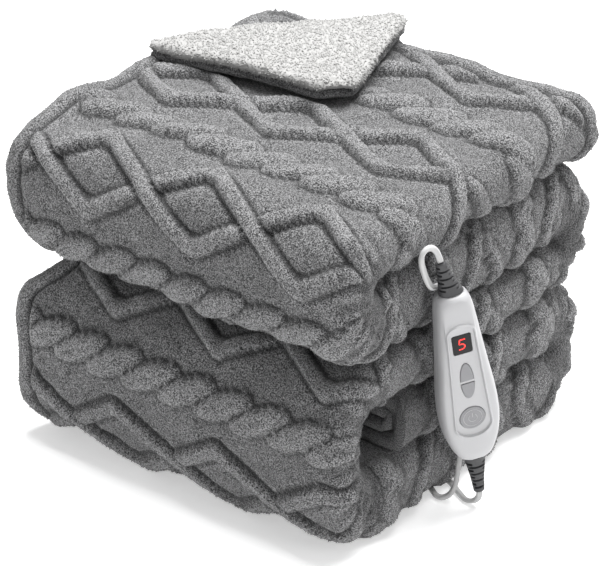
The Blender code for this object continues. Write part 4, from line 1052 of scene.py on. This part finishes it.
def makePile(name, places, normals, shade, material, size, uneven=pile["uneven"]):
    # small closed spikes that lean at random
    count, (length, halfWidth) = len(places), size
    wander = dice.normal(size=(count, 3))
    direction = unit(normals + pile["lean"] * unit(wander) - np.array((0, 0, pile["droop"])))
    sideways = unit(np.cross(direction, dice.normal(size=(count, 3))))
    other = np.cross(direction, sideways)
    grown = dice.uniform(*pile["sizes"], (count, 1))
    base = places - normals * pile["root"]
    verts = [base + halfWidth * grown * (sideways * cos(a) + other * sin(a))
             for a in np.radians((0, 120, 240))]
    verts.append(places + direction * length * grown)
    verts = np.stack(verts, axis=1).reshape(-1, 3)
    verts[:, 2] = np.maximum(verts[:, 2], 0)
    corner = np.arange(count)[:, None, None] * 4
    faces = (corner + np.array(((0, 1, 3), (1, 2, 3), (2, 0, 3), (2, 1, 0)))[None]).reshape(-1, 3)
    piece = makePiece(name, verts, faces.tolist(), material)
    # painted shade at each tuft's foot and painted light at its tip, over the shade it takes from the cloth and a
    # random tone
    shares = np.array((pile["footShade"],) * 3 + (pile["tipShade"],))
    setPileToneAndShade(piece, np.clip(shade[:, None] * shares * dice.uniform(*uneven, (count, 1)), 0, 1))
    return piece


# the tufts take the cloth's painted shade where they stand
seenWeight = np.where(clothPoints[:, :, 2] > pile["overGround"], clothSeen, 0)
tuftPlaces, tuftNormals, tuftShade = scatter(clothPoints, seenWeight, clothToneAndShade, gridNormals(clothPoints),
                                             pile["tufts"])
pilePieces = []
for part in np.array_split(np.argsort(tuftPlaces[:, 1]), pile["pieces"]):
    pilePieces.append(makePile("pile%d" % (len(pilePieces) + 1), tuftPlaces[part], tuftNormals[part],
                               tuftShade[part], looks["pile"], pile["size"]))
turnedShade = np.full_like(turnedAmount, pile["turnedShade"])
turnedTufts = scatter(turnedRings, turnedAmount, turnedShade, turnedNormals, pile["turnedTufts"])
pilePieces.append(makePile("turnedPile", *turnedTufts, looks["pile"], pile["turnedSize"]))
sherpaShade = np.full_like(liningAmount, pile["sherpaShade"])
sherpaTufts = scatter(liningRings, liningAmount, sherpaShade, liningNormals, pile["sherpaTufts"])
sherpaPile = makePile("sherpaPile", *sherpaTufts, looks["sherpa"], pile["sherpaSize"],
                      pile["sherpaUneven"])
print("pile made:", pile["tufts"], "tufts")

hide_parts("plush_blanket")
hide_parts("sherpa_lining")


def toWorld(x, y, z):
    return controlFoot + controlAcross * x + controlUp * y + controlOut * z


def controllerRing(outline, height):
    return [toWorld(x, y, height) for x, y in outline]


def ringStack(shape, table, base=0.0):
    # rings of an outline, by a table of heights and insets
    return [controllerRing(shape(inset), base + height) for height, inset in table]


def bothSides(right):
    # the whole outline from its right half
    right = evenly(np.array(right), controller["outlinePoints"])
    return np.vstack([right, right[1:-1][::-1] * (-1, 1)])


def bodyOutline(inset):
    shape = smoothPath([(share * controlLength, width) for share, width in controller["outline"]], 1.0)
    middle = controlLength / 2
    y = middle + (shape[:, 0] - middle) * (middle - inset) / middle
    width = shape[:, 1] - inset
    corner = controller["outlineCorner"]
    right = [(0, y[0]), (width[0] - corner, y[0]), *zip(width[3:-3], y[3:-3])]
    return bothSides(right + [(width[-1] - corner, y[-1]), (0, y[-1])])


def panelOutline(margin):
    low, high, halfLow, halfHigh = controller["panel"]
    low, high = low * controlLength, high * controlLength
    lowRadius, highRadius = halfLow + margin, halfHigh + margin
    right = [(lowRadius * cos(a), low - margin + lowRadius * 0.8 * (1 + sin(a)))
             for a in np.linspace(-pi / 2, 0, 24)]
    right += [(highRadius * cos(a), high + margin - highRadius * 0.6 * (1 - sin(a)))
              for a in np.linspace(0, pi / 2, 24)]
    return bothSides(right)


def makeShells():
    face, rimTop, rim = controller["panelFace"], controller["rimTop"], controller["rimWidth"]
    rings = ringStack(bodyOutline, controller["front"])
    shoulder, frameEdge = bodyOutline(controller["front"][-1][1]), panelOutline(rim)
    for share, height in controller["shoulder"]:
        rings.append(controllerRing(shoulder * (1 - share) + frameEdge * share, height))
    rings += ringStack(panelOutline, (
        (11.7, rim * 0.8), (rimTop - 0.08, rim * 0.55), (rimTop, rim * 0.35), (rimTop - 0.15, rim * 0.18),
        (11.6, 0.05), (11.1, -0.1), (face + 0.12, -0.3), (face, -0.7)))
    return (makeLoft("controllerFront", rings, looks["shell"]),
            makeLoft("controllerBack", ringStack(bodyOutline, controller["back"]), looks["shellBack"]))


def boxOutline(centreY, size, margin=0.0, corner=1.6):
    halfX, halfY = size[0] / 2 + margin, size[1] / 2 + margin
    points = []
    for turn, (signX, signY) in enumerate(((1, 1), (-1, 1), (-1, -1), (1, -1))):
        for index in range(7):
            angle = radians(90 * turn + 15 * index)
            points.append((signX * (halfX - corner) + corner * cos(angle),
                           centreY + signY * (halfY - corner) + corner * sin(angle)))
    return np.array(points)


keys = {
    "up": {"base": 0.512, "length": 15.5, "half": 5.0},
    "down": {"base": 0.497, "length": -13.5, "half": 5.0},
    "power": {"centre": 0.284, "radius": 9.6},
    "proud": 0.7, "thick": 3.0, "travel": 0.8, "clear": 0.3,
    # height against the key's top, inset
    "edge": ((-3.0, 0.0), (-0.6, 0.0), (-0.35, 0.05), (-0.15, 0.2), (-0.03, 0.45), (0.0, 0.8), (0.05, 2.4)),
}


powerY = keys["power"]["centre"] * controlLength


def keyOutline(name, margin=0.0):
    key = keys[name]
    if name == "power":
        angles, radius = circleAngles(72), key["radius"] + margin
        return np.column_stack([radius * np.cos(angles), powerY + radius * np.sin(angles)])
    sign = copysign(1, key["length"])
    half, tall = key["half"] + margin, abs(key["length"]) + margin
    base = key["base"] * controlLength
    points = [(half * cos(a), base - sign * margin + sign * (tall + margin) * sin(a))
              for a in np.linspace(0, pi, 32)]
    return np.array(points if sign > 0 else points[::-1])


def cutWell(target, outline, low):
    rings = [controllerRing(outline, z) for z in (low, controller["rimTop"] + 4)]
    cutter = makeLoft("well", rings, looks["shell"])
    cutter.parent = None
    modifier = target.modifiers.new("well", "BOOLEAN")
    modifier.operation = "DIFFERENCE"
    modifier.object = cutter
    modifier.solver = "EXACT"
    bpy.context.view_layer.objects.active = target
    bpy.ops.object.modifier_apply(modifier=modifier.name)
    bpy.data.objects.remove(cutter, do_unlink=True)


def shrunk(outline, inset):
    centre = outline.mean(axis=0)
    size = (outline.max(axis=0) - outline.min(axis=0)) / 2
    return centre + (outline - centre) * (1 - inset / size)


controllerFront, controllerBack = makeShells()
windowY = controller["window"][2] * controlLength
keyNames = ("up", "down", "power")
keyTop = controller["panelFace"] + keys["proud"]
wellFloor = keyTop - keys["thick"] - keys["travel"] - keys["clear"]
cutWell(controllerFront, boxOutline(windowY, controller["window"][:2], controller["windowFit"]),
        controller["panelFace"] - controller["windowDepth"])
for keyName in keyNames:
    cutWell(controllerFront, keyOutline(keyName, keys["clear"]), wellFloor)
controllerFront.data.shade_smooth()
controllerFront.data.set_sharp_from_angle(angle=radians(40))


def makeKey(name):
    outline = keyOutline(name)
    rings = ringStack(lambda inset: shrunk(outline, inset), keys["edge"], keyTop)
    return makeLoft(name + "Key", rings, looks["button"], name + "_key", sharp=60)


upKey, downKey, powerKey = (makeKey(keyName) for keyName in keyNames)

marks = {"height": 0.03, "ring": (7.0, 1, 359), "arc": (3.2, 125, 415), "bar": (0.6, 4.4),
         "ringRadius": 0.22, "arcRadius": 0.26}


def makeStroke(name, line, radius):
    # thin round bead, half sunk in the key's face
    line, out = np.array(line), np.array(controlOut)
    sides = unit(np.cross(unit(np.gradient(line, axis=0)), out))
    angles = circleAngles(10)[None, :, None]
    rings = line[:, None] + radius * (sides[:, None] * np.cos(angles) + out * np.sin(angles))
    return makeLoft(name, rings, looks["mark"], "power_key")


def arcLine(radius, first, last, height, steps=60):
    angles = np.radians(np.linspace(first, last, steps))
    return [toWorld(radius * cos(a), powerY + radius * sin(a), height) for a in angles]


markHeight = keyTop + marks["height"]
powerRing = makeStroke("powerRing", arcLine(*marks["ring"], markHeight), marks["ringRadius"])
powerArc = makeStroke("powerArc", arcLine(*marks["arc"], markHeight), marks["arcRadius"])
powerBar = makeStroke("powerBar", [toWorld(0, powerY + y, markHeight) for y in np.linspace(*marks["bar"], 8)],
                      marks["arcRadius"])

digit = {"height": 9.2, "width": 5.2, "stroke": 0.95, "slant": 0.14, "thick": 0.25, "sunk": 0.05,
         "waist": 0.35, "step": 0.25}


def makeDigit():
    # a rounded figure five: one stroke drawn from its upper right end
    halfW, halfH = digit["width"] / 2 - digit["stroke"] / 2, digit["height"] / 2 - digit["stroke"] / 2
    bowl = [(halfW * cos(a) + 0.1, -halfH / 2 + (halfH / 2) * sin(a))
            for a in np.radians(np.linspace(70, -70, 9))]
    line = [(halfW, halfH), (-halfW, halfH), (-halfW, digit["waist"]), (0, digit["waist"])]
    line = np.array(line + bowl + [(0, -halfH), (-halfW, -halfH)])
    dense = []
    for first, last in zip(line, line[1:]):
        steps = max(2, int(hypot(*(last - first)) / digit["step"]))
        dense += list(np.linspace(first, last, steps, endpoint=False))
    dense = np.array(dense + [line[-1]])
    dense[:, 0] += digit["slant"] * dense[:, 1]
    for _ in range(2):
        dense[1:-1] = (dense[:-2] + 2 * dense[1:-1] + dense[2:]) / 4
    tangent = unit(np.gradient(dense, axis=0))
    side = np.column_stack([-tangent[:, 1], tangent[:, 0]]) * digit["stroke"] / 2
    dense[:, 1] += windowY
    low = controller["panelFace"] - digit["sunk"]
    high = low + digit["thick"]
    corners = ((-1, low), (1, low), (1, high), (-1, high))
    rings = [[toWorld(*(place + sign * half), height) for sign, height in corners]
             for place, half in zip(dense, side)]
    return makeLoft("displayDigit", rings, looks["digit"], sharp=40)


def makeWindow():
    outline = boxOutline(windowY, controller["window"][:2])
    rings = ringStack(lambda inset: shrunk(outline, inset),
                      ((-1.2, 0.0), (-0.1, 0.0), (0.05, 0.1), (0.1, 0.35)), controller["panelFace"])
    return makeLoft("displayWindow", rings, looks["glass"], sharp=30)


displayWindow = makeWindow()
displayDigit = makeDigit()
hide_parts("controller_front")
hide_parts("controller_back")
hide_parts("button_up")
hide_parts("button_down")
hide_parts("button_power")
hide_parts("display_window")
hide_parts("display_digit")
print("controller made")

studio = {  # metres
    "floorHalf": 4.0,
    "world": 0.35,
    "lit": (0, 0, 0.12),  # where the lights point
    # place, size, power
    "lights": {"overhead": ((0.05, 0.4, 2.1), 1.7, 98), "right": ((1.9, -0.2, 1.3), 1.2, 8),
               "front": ((-0.9, -1.9, 1.2), 1.6, 6)},
}


def makeStudio():
    half = studio["floorHalf"]
    mesh = bpy.data.meshes.new("studioFloor")
    mesh.from_pydata([(-half, -half, 0), (half, -half, 0), (half, half, 0), (-half, half, 0)], [], [(0, 1, 2, 3)])
    mesh.materials.append(looks["floor"])
    addObject("studioFloor", mesh)
    world = bpy.data.worlds.new("studioWorld")
    world.use_nodes = True
    background = world.node_tree.nodes["Background"]
    background.inputs[0].default_value = (1, 1, 1, 1)
    background.inputs[1].default_value = studio["world"]
    bpy.context.scene.world = world
    bpy.context.scene.view_settings.view_transform = "Standard"
    for name, (place, size, power) in studio["lights"].items():
        lightData = bpy.data.lights.new(name, "AREA")
        lightData.size = size
        lightData.energy = power
        pointAlong(addObject(name, lightData), place, Vector(studio["lit"]) - Vector(place))


makeStudio()
print("studio made")
